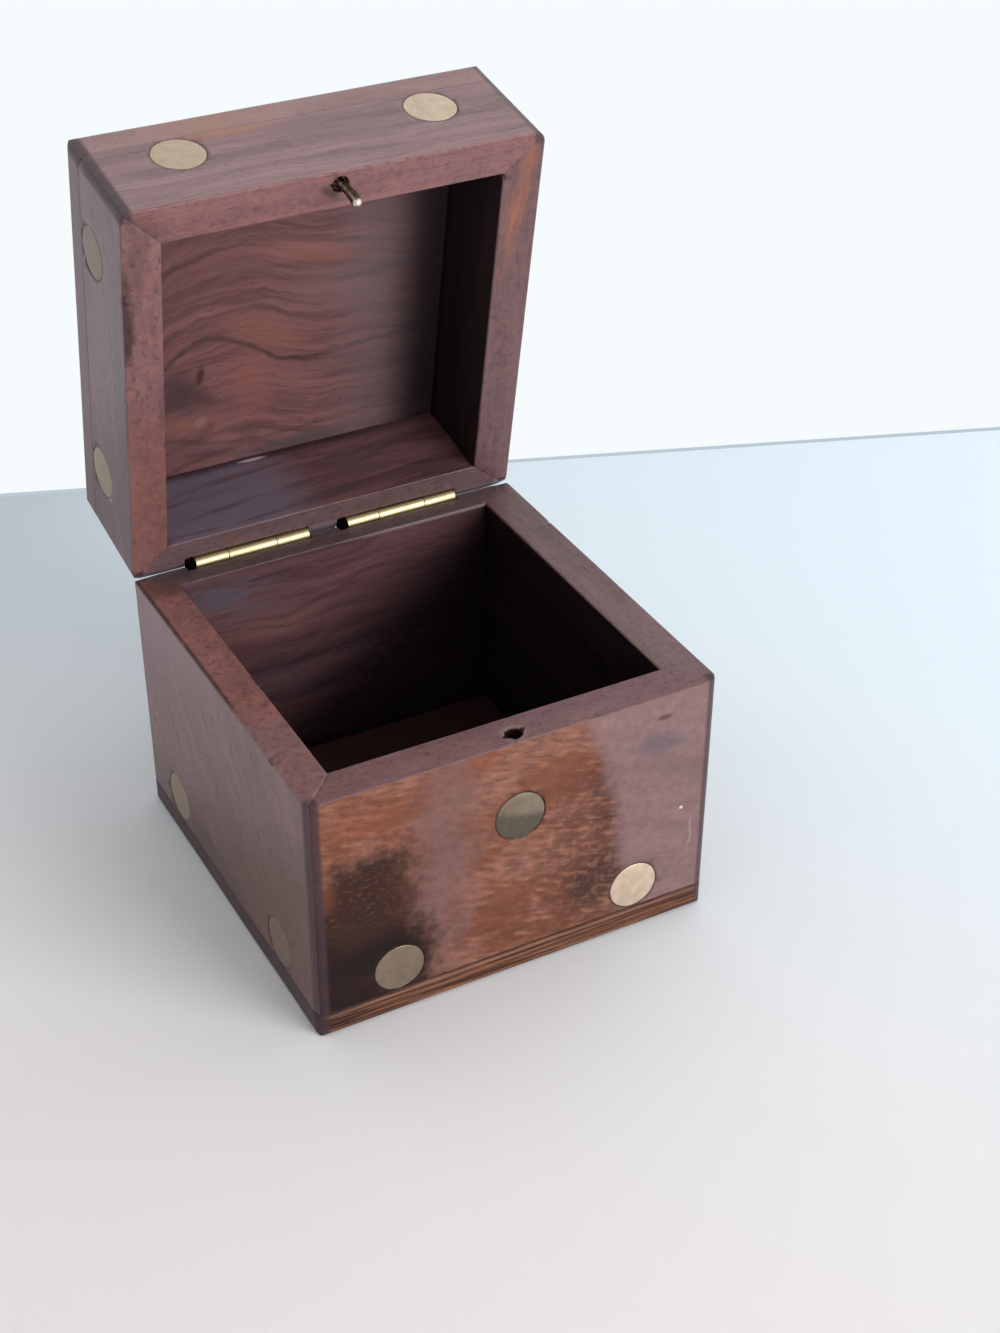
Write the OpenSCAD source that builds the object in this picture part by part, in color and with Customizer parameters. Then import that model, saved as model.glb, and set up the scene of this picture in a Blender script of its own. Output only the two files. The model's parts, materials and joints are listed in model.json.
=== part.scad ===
// Dice box with a hinged lid, made to look like one large wooden die.
// Each half is four mitred boards round an open space. A base panel closes the body from below and a
// top panel closes the lid. Brass discs let into the faces are the pips. Two barrel hinges with their
// leaves in saw kerfs join the back walls, and a brass pin in the lid's front rim drops into a hole
// in the body's front rim.
// The origin is the centre of the underside, the front looks along -Y and +Z is up.
// The lid is drawn open, at the stop where its bevelled back edge nearly meets the body's.

/* [Box] */
// Width across the front
box_w = 76; // [64:0.5:92]
// Depth from the front face to the back face
box_d = 76; // [64:0.5:92]
// Height of the body up to its rim
body_h = 49.2; // [41:0.1:59.1]
// Height of the lid from its rim to its top face
lid_h = 25; // [21:0.1:30]
// Thickness of the front and left walls
wall = 6.8; // [5.7:0.1:8.2]
// Thickness of the right walls, which this hand-made box has a little thicker
right_wall = 7.6; // [6.3:0.1:8.4]
// Thickness of the back walls, which hold the hinges
back_wall = 6.5; // [5.5:0.1:7.8]
// Thickness of the base panel
base_t = 5; // [4.2:0.1:6]
// Thickness of the top panel
top_t = 6.6; // [5.5:0.1:8]
// Rounding of the upright edges and of the edges round the top
edge_r = 2.2; // [1.8:0.1:2.7]
// Rounding of the edges round the underside
foot_r = 1.2; // [0.8:0.1:1.5]

/* [Lid and seam] */
// Angle between the two rims at the open stop
open_angle = 80; // [74:1:84]
// Gap between the rims when the lid is shut
seam_gap = 0.2; // [0.15:0.05:0.3]
// Width of the bevel on each back edge of the seam, measured across the rim
bevel_w = 1.6; // [1.3:0.1:1.9]
// Height of that bevel, measured up or down the back face
bevel_h = 0.9; // [0.85:0.05:1.1]

/* [Pips] */
// Diameter of a brass pip
pip_d = 9.2; // [7.7:0.1:11]
// Thickness of a brass pip
pip_t = 1.5; // [1.2:0.1:1.8]
// Distance of a side column of pips from the middle of its face, as a share of the box's size
pip_share = 0.3; // [0.27:0.01:0.32]
// Height of the middle pips above the underside
centre_pip_z = 33.8; // [29:0.1:34.5]
// Bare wood between a pip and the nearest joint line of its wall
pip_margin = 0.3; // [0.2:0.1:0.5]

/* [Hinges] */
// Length of a hinge along its barrel
hinge_len = 22.3; // [18.6:0.1:26]
// Distance of each hinge's middle from the box's middle
hinge_x = 15.1; // [14.2:0.1:17]
// Distance of the hinge axis from the back face
axis_inset = 1; // [0.9:0.05:1.15]
// Diameter of the barrel
barrel_d = 2.4; // [2.1:0.1:2.6]
// Diameter of the hinge pin
hinge_pin_d = 1; // [0.8:0.1:1.2]
// Share of the barrel that the body's middle knuckle takes
knuckle_share = 0.42; // [0.35:0.01:0.5]
// Thickness of a leaf
leaf_t = 0.8; // [0.6:0.1:0.9]
// Depth of a body leaf in its wall, measured from the hinge axis
leaf_h = 8.5; // [7.5:0.1:10]
// Wood between the edge of a lid leaf and the pip above it
leaf_margin = 0.9; // [0.7:0.1:2]
// Length of the open notch at the left end of each barrel
notch_len = 1.8; // [1.2:0.1:2.4]
// Diameter of the small brads that hold the leaves
brad_d = 0.9; // [0.7:0.1:1.1]
// Length of a brad
brad_len = 4.4; // [3.8:0.1:4.8]
// Distance of a brad from the middle of its hinge, as a share of the hinge's length
brad_share = 0.32; // [0.27:0.01:0.38]

/* [Latch] */
// Diameter of the latch pin
latch_d = 1.8; // [1.5:0.1:2.2]
// Length of the latch pin below the lid's rim
latch_out = 6.5; // [5.5:0.1:7.5]
// Length of the latch pin inside the lid's front wall
latch_in = 5; // [4:0.1:6]
// Distance of the latch pin from the front face
latch_inset = 2.5; // [2.4:0.1:2.9]
// Diameter of the worn hole round the root of the latch pin
latch_wear_d = 2.8; // [2.6:0.1:3.2]

/* [Hidden] */

// The colours of the plain model
rosewood = "#7a4a40";
dark_wood = "#5f3831";
red_wood = "#8a5140";
brass = "#c9b36f";

// Room for a cut to pass through the face that it starts from
cut_over = 1;
// Glue line between a pip and the side of its recess
pip_glue = 0.05;
// Running clearance of a hinge pin in the body's knuckle, on the radius
pin_play = 0.05;
// Gap between neighbouring knuckles
knuckle_gap = 0.15;
// Clearance of the barrel in the wood round it, on the radius
barrel_play = 0.3;
// Clearance of a leaf in its kerf, on each side
kerf_play = 0.1;
// How far a leaf's front face lies inside the barrel's front
leaf_sink = 0.05;
// Room round the latch pin in its hole, on the radius
latch_play = 0.5;
// Room under the latch pin's tip when the lid is shut
latch_floor = 1;
// Depth of the worn hole round the root of the latch pin
latch_wear = 1;

half_w = box_w / 2;
half_d = box_d / 2;
seam_z = body_h + seam_gap / 2;
closed_h = body_h + seam_gap + lid_h;
lid_wall_top = closed_h - top_t;
axis_y = half_d - axis_inset;

pip_r = pip_d / 2;
pip_x = pip_share * box_w;
pip_y = pip_share * box_d;
low_pip_z = base_t + pip_margin + pip_r;
high_pip_z = lid_wall_top - pip_margin - pip_r;

barrel_r = barrel_d / 2;
pocket_r = barrel_r + barrel_play;
mid_knuckle = knuckle_share * hinge_len;
end_knuckle = (hinge_len - mid_knuckle) / 2 - knuckle_gap;
leaf_y = -(barrel_r - leaf_sink);
lid_leaf_h = high_pip_z - pip_r - leaf_margin - seam_z;
brad_x = brad_share * hinge_len;

latch_y = -half_d + latch_inset;
latch_r = latch_d / 2;

// Rectangle with round corners, centred
module rounded_rect(w, h, r) {
    square([w - 2 * r, h], center = true);
    square([w, h - 2 * r], center = true);
    for (x = [-1, 1], y = [-1, 1]) {
        translate([x * (w / 2 - r), y * (h / 2 - r)]) circle(r = r, $fn = 48);
    }
}

// Plan of the box between two heights, with its upright edges rounded
module plan_block(z0, z1) {
    translate([0, 0, z0]) linear_extrude(z1 - z0) rounded_rect(box_w, box_d, edge_r);
}

// The same, with the edges round the top and the underside rounded by r
module panel_block(z0, z1, r) {
    intersection() {
        plan_block(z0, z1);
        translate([0, half_d, closed_h / 2]) rotate([90, 0, 0])
            linear_extrude(box_d) rounded_rect(box_w, closed_h, r);
        translate([-half_w, 0, closed_h / 2]) rotate([90, 0, 90])
            linear_extrude(box_w) rounded_rect(box_d, closed_h, r);
    }
}

// Prism below a mitred wall's outline: side is "front", "back", "left" or "right"
module mitre(side, z0, z1) {
    left_x = -half_w + wall;
    right_x = half_w - right_wall;
    front_y = -half_d + wall;
    back_y = half_d - back_wall;
    outline =
        side == "front" ? [[-half_w, -half_d], [half_w, -half_d], [right_x, front_y], [left_x, front_y]] :
        side == "back" ? [[half_w, half_d], [-half_w, half_d], [left_x, back_y], [right_x, back_y]] :
        side == "left" ? [[-half_w, half_d], [-half_w, -half_d], [left_x, front_y], [left_x, back_y]] :
        [[half_w, -half_d], [half_w, half_d], [right_x, back_y], [right_x, front_y]];
    translate([0, 0, z0]) linear_extrude(z1 - z0) polygon(outline);
}

// One mitred wall between two heights
module wall_board(side, z0, z1) {
    intersection() {
        plan_block(z0, z1);
        mitre(side, z0, z1);
    }
}

// Wedge that bevels the back edge of a rim: up is 1 for the body's rim and -1 for the lid's
module rim_bevel(up) {
    edge = up > 0 ? body_h : body_h + seam_gap;
    slope = bevel_h / bevel_w;
    translate([-half_w - cut_over, 0, 0]) rotate([90, 0, 90]) linear_extrude(box_w + 2 * cut_over)
        polygon([
            [half_d - bevel_w - cut_over, edge + up * slope * cut_over],
            [half_d + cut_over, edge + up * slope * cut_over],
            [half_d + cut_over, edge - up * (bevel_h + slope * cut_over)]
        ]);
}

// Puts a piece that is drawn on the shut box where the open lid holds it
module on_lid() {
    translate([0, axis_y, seam_z]) rotate([-open_angle, 0, 0])
        translate([0, -axis_y, -seam_z]) children();
}

// Disc along -Y with its outer face on y = 0, for a pip or, with over, for its recess
module disc(r, t, over = 0) {
    translate([0, -over, 0]) rotate([-90, 0, 0]) cylinder(r = r, h = t + over, $fn = 64);
}

// Puts a disc on a face of the shut box: u runs across the face from its middle, z is the height
module on_face(side, u, z) {
    turn = side == "front" ? 0 : side == "right" ? 90 : side == "back" ? 180 : 270;
    reach = side == "front" || side == "back" ? half_d : half_w;
    rotate([0, 0, turn]) translate([u, -reach, z]) children();
}

module pip(side, u, z) {
    color(brass) on_face(side, u, z) disc(pip_r, pip_t);
}

module recess(side, u, z) {
    on_face(side, u, z) disc(pip_r + pip_glue, pip_t, cut_over);
}

module top_pip(x, y) {
    color(brass) translate([x, y, closed_h]) rotate([-90, 0, 0]) disc(pip_r, pip_t);
}

// Where the front of a hinge lies, for a hinge at x: the axis runs along X through the origin
module at_hinge(side) {
    translate([side * hinge_x, axis_y, seam_z]) children();
}

module rod_x(x0, x1, r) {
    translate([x0, 0, 0]) rotate([0, 90, 0]) cylinder(r = r, h = x1 - x0, $fn = 48);
}

// Depth of a leaf from the axis: up is 1 in the lid and -1 in the body
function leaf_depth(up) = up > 0 ? lid_leaf_h : leaf_h;

// The four brad holes or brads of one leaf side, in the middle of the part of a leaf that lies past
// the barrel's pocket: up is 1 in the lid and -1 in the body
module brads(up, r) {
    brad_z = (leaf_depth(up) + pocket_r) / 2;
    for (side = [-1, 1], x = [-1, 1]) {
        at_hinge(side) translate([x * brad_x, axis_inset, up * brad_z]) rotate([90, 0, 0])
            cylinder(r = r, h = brad_len, $fn = 32);
    }
}

// Room for a hinge in one wall: the barrel's pocket with its notch, and the leaf's kerf
module hinge_room(up) {
    for (side = [-1, 1]) {
        at_hinge(side) {
            rod_x(-hinge_len / 2 - notch_len, hinge_len / 2 + barrel_play, pocket_r);
            kerf_h = leaf_depth(up) + kerf_play;
            translate([-hinge_len / 2 - kerf_play, leaf_y - kerf_play, up > 0 ? 0 : -kerf_h])
                cube([hinge_len + 2 * kerf_play, leaf_t + 2 * kerf_play, kerf_h]);
        }
    }
}

// Plate of a leaf from x0 to x1, between two heights over the axis, going up or down
module plate(x0, x1, z0, z1, up) {
    translate([x0, leaf_y, up > 0 ? z0 : -z1]) cube([x1 - x0, leaf_t, z1 - z0]);
}

// The body's leaf with the middle knuckle
module body_leaf(side) {
    color(brass) difference() {
        at_hinge(side) difference() {
            union() {
                rod_x(-mid_knuckle / 2, mid_knuckle / 2, barrel_r);
                plate(-mid_knuckle / 2, mid_knuckle / 2, 0, leaf_h, -1);
                plate(-hinge_len / 2, hinge_len / 2, pocket_r, leaf_h, -1);
            }
            rod_x(-hinge_len, hinge_len, hinge_pin_d / 2 + pin_play);
        }
        brads(-1, brad_d / 2);
    }
}

// The lid's leaf with the two end knuckles, drawn on the shut box
module lid_leaf(side) {
    color(brass) on_lid() difference() {
        at_hinge(side) difference() {
            union() {
                for (x = [-hinge_len / 2, hinge_len / 2 - end_knuckle]) {
                    rod_x(x, x + end_knuckle, barrel_r);
                    plate(x, x + end_knuckle, 0, lid_leaf_h, 1);
                }
                plate(-hinge_len / 2, hinge_len / 2, pocket_r, lid_leaf_h, 1);
            }
            rod_x(-hinge_len, hinge_len, hinge_pin_d / 2);
        }
        brads(1, brad_d / 2);
    }
}

module hinge_pin(side) {
    color(brass) on_lid() at_hinge(side) rod_x(-hinge_len / 2, hinge_len / 2, hinge_pin_d / 2);
}

module base_panel() {
    color(red_wood) panel_block(0, base_t, foot_r);
}

module body_front_wall() {
    color(red_wood) difference() {
        wall_board("front", base_t, body_h);
        for (x = [-pip_x, pip_x]) recess("front", x, low_pip_z);
        recess("front", 0, centre_pip_z);
        translate([0, latch_y, body_h - latch_out - latch_floor])
            cylinder(r = latch_r + latch_play, h = latch_out + latch_floor + cut_over, $fn = 48);
    }
}

module body_back_wall() {
    color(dark_wood) difference() {
        wall_board("back", base_t, body_h);
        rim_bevel(1);
        hinge_room(-1);
        brads(-1, brad_d / 2);
        recess("back", -pip_x, low_pip_z);
    }
}

module body_left_wall() {
    color(rosewood) difference() {
        wall_board("left", base_t, body_h);
        rim_bevel(1);
        for (y = [-pip_y, pip_y]) recess("left", y, low_pip_z);
    }
}

module body_right_wall() {
    color(rosewood) difference() {
        wall_board("right", base_t, body_h);
        rim_bevel(1);
        recess("right", -pip_y, low_pip_z);
        recess("right", 0, centre_pip_z);
    }
}

module lid_top_panel() {
    color(rosewood) on_lid() difference() {
        panel_block(lid_wall_top, closed_h, edge_r);
        for (x = [-pip_x, pip_x], y = [-pip_y, 0, pip_y]) {
            translate([x, y, closed_h]) rotate([-90, 0, 0]) disc(pip_r + pip_glue, pip_t, cut_over);
        }
    }
}

module lid_front_wall() {
    color(rosewood) on_lid() difference() {
        wall_board("front", body_h + seam_gap, lid_wall_top);
        for (x = [-pip_x, pip_x]) recess("front", x, high_pip_z);
        translate([0, latch_y, body_h]) cylinder(r = latch_r, h = seam_gap + latch_in, $fn = 48);
        translate([0, latch_y, body_h]) cylinder(r = latch_wear_d / 2, h = seam_gap + latch_wear, $fn = 48);
    }
}

module lid_back_wall() {
    color(dark_wood) on_lid() difference() {
        wall_board("back", body_h + seam_gap, lid_wall_top);
        rim_bevel(-1);
        hinge_room(1);
        brads(1, brad_d / 2);
        recess("back", pip_x, high_pip_z);
    }
}

module lid_left_wall() {
    color(red_wood) on_lid() difference() {
        wall_board("left", body_h + seam_gap, lid_wall_top);
        rim_bevel(-1);
        for (y = [-pip_y, pip_y]) recess("left", y, high_pip_z);
    }
}

module lid_right_wall() {
    color(rosewood) on_lid() difference() {
        wall_board("right", body_h + seam_gap, lid_wall_top);
        rim_bevel(-1);
        recess("right", pip_y, high_pip_z);
    }
}

module left_hinge_body_leaf() { body_leaf(-1); }
module left_hinge_lid_leaf() { lid_leaf(-1); }
module left_hinge_pin() { hinge_pin(-1); }
module right_hinge_body_leaf() { body_leaf(1); }
module right_hinge_lid_leaf() { lid_leaf(1); }
module right_hinge_pin() { hinge_pin(1); }

module body_hinge_brads() {
    color(brass) brads(-1, brad_d / 2);
}

module lid_hinge_brads() {
    color(brass) on_lid() brads(1, brad_d / 2);
}

// Straight pin with a round tip
module latch_pin() {
    root_z = body_h + seam_gap + latch_in;
    tip_z = body_h + seam_gap - latch_out;
    color(brass) on_lid() translate([0, latch_y, 0]) {
        translate([0, 0, tip_z + latch_r]) cylinder(r = latch_r, h = root_z - tip_z - latch_r, $fn = 48);
        translate([0, 0, tip_z + latch_r]) sphere(r = latch_r, $fn = 48);
    }
}

module front_pip_lower_left() { pip("front", -pip_x, low_pip_z); }
module front_pip_lower_right() { pip("front", pip_x, low_pip_z); }
module front_pip_centre() { pip("front", 0, centre_pip_z); }
module front_pip_upper_left() { on_lid() pip("front", -pip_x, high_pip_z); }
module front_pip_upper_right() { on_lid() pip("front", pip_x, high_pip_z); }

// Across the left face u runs from back to front, and across the right face from front to back
module left_pip_lower_front() { pip("left", pip_y, low_pip_z); }
module left_pip_lower_back() { pip("left", -pip_y, low_pip_z); }
module left_pip_upper_front() { on_lid() pip("left", pip_y, high_pip_z); }
module left_pip_upper_back() { on_lid() pip("left", -pip_y, high_pip_z); }

module right_pip_lower_front() { pip("right", -pip_y, low_pip_z); }
module right_pip_centre() { pip("right", 0, centre_pip_z); }
module right_pip_upper_back() { on_lid() pip("right", pip_y, high_pip_z); }

module back_pip_lower() { pip("back", -pip_x, low_pip_z); }
module back_pip_upper() { on_lid() pip("back", pip_x, high_pip_z); }

module top_pip_left_front() { on_lid() top_pip(-pip_x, -pip_y); }
module top_pip_left_middle() { on_lid() top_pip(-pip_x, 0); }
module top_pip_left_back() { on_lid() top_pip(-pip_x, pip_y); }
module top_pip_right_front() { on_lid() top_pip(pip_x, -pip_y); }
module top_pip_right_middle() { on_lid() top_pip(pip_x, 0); }
module top_pip_right_back() { on_lid() top_pip(pip_x, pip_y); }

base_panel();
body_front_wall();
body_back_wall();
body_left_wall();
body_right_wall();
lid_top_panel();
lid_front_wall();
lid_back_wall();
lid_left_wall();
lid_right_wall();
left_hinge_body_leaf();
left_hinge_lid_leaf();
left_hinge_pin();
right_hinge_body_leaf();
right_hinge_lid_leaf();
right_hinge_pin();
body_hinge_brads();
lid_hinge_brads();
latch_pin();
front_pip_lower_left();
front_pip_lower_right();
front_pip_centre();
front_pip_upper_left();
front_pip_upper_right();
left_pip_lower_front();
left_pip_lower_back();
left_pip_upper_front();
left_pip_upper_back();
right_pip_lower_front();
right_pip_centre();
right_pip_upper_back();
back_pip_lower();
back_pip_upper();
top_pip_left_front();
top_pip_left_middle();
top_pip_left_back();
top_pip_right_front();
top_pip_right_middle();
top_pip_right_back();
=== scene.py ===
# %% [markdown]
# A dice box: a small wooden box made like one large die, with brass pips, two barrel hinges and a pin
# that holds the lid shut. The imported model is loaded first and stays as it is. The pieces below lie
# where its nodes are and bring the eased edges, the grain, the wear and the metal.

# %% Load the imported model
import bmesh
import bpy
import json
import math
from mathutils import Matrix, Vector, noise


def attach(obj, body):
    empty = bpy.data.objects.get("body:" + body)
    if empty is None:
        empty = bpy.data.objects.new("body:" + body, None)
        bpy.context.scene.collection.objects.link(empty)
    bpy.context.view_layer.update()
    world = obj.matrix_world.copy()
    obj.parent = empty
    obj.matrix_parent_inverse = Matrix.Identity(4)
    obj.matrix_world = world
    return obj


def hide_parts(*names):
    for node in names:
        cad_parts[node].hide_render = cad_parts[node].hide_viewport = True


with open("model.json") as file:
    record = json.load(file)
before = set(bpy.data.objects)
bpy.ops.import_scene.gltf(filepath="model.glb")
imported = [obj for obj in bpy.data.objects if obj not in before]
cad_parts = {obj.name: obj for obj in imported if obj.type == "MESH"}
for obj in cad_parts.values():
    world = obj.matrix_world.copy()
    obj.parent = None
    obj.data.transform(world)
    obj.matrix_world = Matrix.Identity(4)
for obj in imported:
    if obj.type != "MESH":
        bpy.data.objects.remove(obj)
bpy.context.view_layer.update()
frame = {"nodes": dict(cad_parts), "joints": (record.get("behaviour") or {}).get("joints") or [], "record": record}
nodes = frame["nodes"]

# %% [markdown]
# The lid is drawn open. Its grain and its wear are easier to place on the shut box, where every
# board is square to the axes, so two matrices take the lid's points there and back. All work on shapes
# is done in millimetres.

# %% Matrices between the open lid and the shut box
MM = 0.001
hinge = frame["joints"][0]
AXIS_Y, AXIS_Z = hinge["pos_m"][1] / MM, hinge["pos_m"][2] / MM
OPEN_ANGLE = math.radians(hinge["range_deg"][1])

to_axis = Matrix.Translation((0, AXIS_Y, AXIS_Z))
shut_turn = to_axis @ Matrix.Rotation(OPEN_ANGLE, 4, "X") @ to_axis.inverted()
in_mm = Matrix.Scale(1 / MM, 4)
to_shut = {"body": in_mm, "lid": shut_turn @ in_mm}
body_of = {n: body for body, names in frame["record"]["behaviour"]["bodies"].items() for n in names}
print("hinge axis", AXIS_Y, AXIS_Z, "open by", round(math.degrees(OPEN_ANGLE), 1))

# %% [markdown]
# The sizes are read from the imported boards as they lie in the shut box, and rounded to hundredths. Only
# the radius of the box's upright edges is typed in.

# %% Main sizes of the box, in millimetres
def shut_spans(node):
    points = [to_shut[body_of[node]] @ v.co for v in nodes[node].data.vertices]
    return [(min(p[i] for p in points), max(p[i] for p in points)) for i in range(3)]


def even_spans(node):
    return [[round(end, 2) for end in span] for span in shut_spans(node)]


HALF = even_spans("base_panel")[0][1]
BASE_T, BODY_H = even_spans("body_front_wall")[2]
LID_RIM, LID_WALL_TOP = even_spans("lid_front_wall")[2]
SHUT_H = even_spans("lid_top_panel")[2][1]
WALL = round(HALF + even_spans("body_front_wall")[1][1], 2)
RIGHT_WALL = round(HALF - even_spans("body_right_wall")[0][0], 2)
BACK_WALL = round(HALF - even_spans("body_back_wall")[1][0], 2)
EDGE_R = 2.2
print("half width", HALF, "walls", WALL, RIGHT_WALL, BACK_WALL)
print("heights", BASE_T, BODY_H, LID_RIM, LID_WALL_TOP, SHUT_H)

# %% A new object in the scene
def scene_object(name, data):
    obj = bpy.data.objects.new(name, data)
    bpy.context.scene.collection.objects.link(obj)
    return obj


# %% [markdown]
# The camera comes first, so that every later step can be compared with the photograph. Its place and
# lens were found from the corners of the box: it looks down from the front left with a long lens.

# %% Camera
F_PX = 2212.147
SENSOR_MM = 36
FRAME_W, FRAME_H = 1000, 1333
VIEW_AZ, VIEW_EL, VIEW_ROLL = math.radians(-28.289), math.radians(35.948), math.radians(0.232)
VIEW_CENTRE = (491.14, 724.494)
CAMERA_AT = Vector((-140.468, -288.632, 260.741)) * MM

camera_data = bpy.data.cameras.new("camera")
camera = scene_object("camera", camera_data)
bpy.context.scene.camera = camera
camera_data.sensor_width = SENSOR_MM
camera_data.lens = F_PX * SENSOR_MM / FRAME_H
camera_data.shift_x = (FRAME_W / 2 - VIEW_CENTRE[0]) / FRAME_H
camera_data.shift_y = (VIEW_CENTRE[1] - FRAME_H / 2) / FRAME_H
camera_data.clip_start = 0.01
turn = Matrix.Rotation(VIEW_AZ, 4, "Z") @ Matrix.Rotation(math.pi / 2 - VIEW_EL, 4, "X")
camera.matrix_world = Matrix.Translation(CAMERA_AT) @ turn @ Matrix.Rotation(VIEW_ROLL, 4, "Z")
print("lens", round(camera_data.lens, 1))
print("shift", round(camera_data.shift_x, 4), round(camera_data.shift_y, 4))

# %% [markdown]
# Sums on textures are easier to read as Python than as rows of nodes. A Val wraps a socket, so that
# a + b or 1 - mask adds the Math node. Every other node comes from Finish.node, which takes the node's
# type, its settings and what goes into its sockets.

# %% A number on its way through a material
class Val:
    def __init__(self, finish, socket):
        self.finish = finish
        self.socket = socket

    def math(self, operation, first, second=0.0):
        return self.finish.node("ShaderNodeMath", {"operation": operation}, (first, second))

    def __add__(self, other):
        return self.math("ADD", self, other)

    def __sub__(self, other):
        return self.math("SUBTRACT", self, other)

    def __rsub__(self, other):
        return self.math("SUBTRACT", other, self)

    def __mul__(self, other):
        return self.math("MULTIPLY", self, other)

    def __truediv__(self, other):
        return self.math("DIVIDE", self, other)

    def __rtruediv__(self, other):
        return self.math("DIVIDE", other, self)

    def __pow__(self, other):
        return self.math("POWER", self, other)

    def __abs__(self):
        return self.math("ABSOLUTE", self)

    __radd__ = __add__
    __rmul__ = __mul__


# %% A material and the calls that fill it
class Finish:
    def __init__(self, name):
        self.material = bpy.data.materials.new(name)
        self.material.use_nodes = True
        self.tree = self.material.node_tree
        self.tree.nodes.clear()

    def node(self, kind, settings=None, values=(), out=0):
        node = self.tree.nodes.new(kind)
        for key, value in (settings or {}).items():
            if key == "stops":
                self.set_stops(node.color_ramp, value)
            else:
                setattr(node, key, value)
        pairs = values.items() if isinstance(values, dict) else enumerate(values)
        for key, value in pairs:
            if isinstance(value, Val):
                self.tree.links.new(value.socket, node.inputs[key])
            else:
                node.inputs[key].default_value = value
        return Val(self, node.outputs[out]) if node.outputs else None

    def set_stops(self, ramp, stops):
        while len(ramp.elements) < len(stops):
            ramp.elements.new(0.5)
        for element, (place, colour) in zip(ramp.elements, stops):
            element.position = place
            element.color = (*colour, 1)

    def vector(self, x, y, z):
        return self.node("ShaderNodeCombineXYZ", None, (x, y, z))

    def noise(self, place, detail=2.0, rough=0.5, scale=1.0, out=0):
        values = {"Vector": place, "Scale": scale, "Detail": detail, "Roughness": rough}
        return self.node("ShaderNodeTexNoise", None, values, out)

    def ease(self, value, start, end):
        settings = {"interpolation_type": "SMOOTHSTEP"}
        return self.node("ShaderNodeMapRange", settings, (value, start, end, 0.0, 1.0))

    def ramp(self, value, stops):
        return self.node("ShaderNodeValToRGB", {"stops": stops}, (value,))

    def mix(self, under, over, share, blend="MIX"):
        colours = [c if isinstance(c, Val) else (*c, 1) for c in (under, over)]
        settings = {"data_type": "RGBA", "blend_type": blend}
        return self.node("ShaderNodeMix", settings, {0: share, 6: colours[0], 7: colours[1]}, 2)

    def low(self, a, b):
        return a.math("MINIMUM", a, b)

    def high(self, a, b):
        return a.math("MAXIMUM", a, b)

    def surface(self, colour, roughness, height=None, height_mm=0.1, constants=None, metallic=0.0):
        values = {"Base Color": colour, "Roughness": roughness, "Metallic": metallic}
        values.update(constants or {})
        if height is not None:
            relief = {"Distance": height_mm * MM, "Height": height}
            values["Normal"] = self.node("ShaderNodeBump", None, relief)
        shader = self.node("ShaderNodeBsdfPrincipled", None, values)
        self.node("ShaderNodeOutputMaterial", None, (shader,))
        return self.material


# %% [markdown]
# Materials read the object's own coordinates. A Mapping node turns the open lid's points back to the
# shut box and into millimetres, so one set of sizes serves both halves.

# %% Shut-box coordinates inside a material
def shut_place(finish, body):
    place = finish.node("ShaderNodeTexCoord", out="Object")
    settings = {"Vector": place, "Scale": (1 / MM, 1 / MM, 1 / MM)}
    if body == "lid":
        settings["Rotation"] = (OPEN_ANGLE, 0, 0)
        settings["Location"] = shut_turn.translation
    mapped = finish.node("ShaderNodeMapping", {"vector_type": "POINT"}, settings)
    split = finish.node("ShaderNodeSeparateXYZ", None, (mapped,))
    axes = split.socket.node.outputs
    return mapped, Val(finish, axes[0]), Val(finish, axes[1]), Val(finish, axes[2])


# %% [markdown]
# The box stands on a pale floor in front of a white backdrop. Both are stage, so they aren't part of the
# object. The backdrop's foot runs where it crosses the picture, and a thin grey line marks the join.
# Brass reflects the backdrop. The camera itself sees the equally pale room through it, so the box also
# stays in view from behind.

# %% Floor and backdrop
EDGE_LEFT, EDGE_RIGHT = Vector((-28.8, 161.5, 0)), Vector((199.0, 78.3, 0))
FLOOR_REACH = 1600
BACKDROP_RISE = 1500
FLOOR_COOL, FLOOR_WARM = (0.76, 0.86, 0.93), (0.80, 0.775, 0.775)
BACKDROP_COLOUR = (0.92, 0.97, 0.99)
JOIN_COLOUR = (0.50, 0.60, 0.66)
JOIN_H = 0.9
FLOOR_BLEND = (-140.0, 130.0)
MATT_WHITE = (0.85, 0.85, 0.85, 1)


def stage_sheet(name, corners, material):
    mesh = bpy.data.meshes.new(name)
    mesh.from_pydata([c * MM for c in corners], [], [tuple(range(len(corners)))])
    mesh.materials.append(material)
    sheet = scene_object(name, mesh)


def floor_finish():
    g = Finish("floor")
    place, x, y, z = shut_place(g, "body")
    # The blend from warm at the front left to cool at the back right paints the tint of the window light on the
    # floor.
    colour = g.mix(FLOOR_WARM, FLOOR_COOL, g.ease(x + y * 0.9, *FLOOR_BLEND))
    return g.surface(colour, 0.6, constants={"Specular IOR Level": 0.2})


def backdrop_finish(name, colour, clear=False):
    g = Finish(name)
    camera_ray, glossy, through = [g.node("ShaderNodeLightPath", out=kind)
                                   for kind in ("Is Camera Ray", "Is Glossy Ray", "Is Transmission Ray")]
    matt = g.node("ShaderNodeBsdfDiffuse", None, {"Color": MATT_WHITE})
    lit = g.node("ShaderNodeEmission", None, {"Color": (*colour, 1), "Strength": 1.0})
    shader = g.node("ShaderNodeMixShader", None, (g.high(glossy, through), matt, lit))
    seen = g.node("ShaderNodeBsdfTransparent") if clear else lit
    shader = g.node("ShaderNodeMixShader", None, (camera_ray, shader, seen))
    g.node("ShaderNodeOutputMaterial", None, (shader,))
    return g.material


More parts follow.
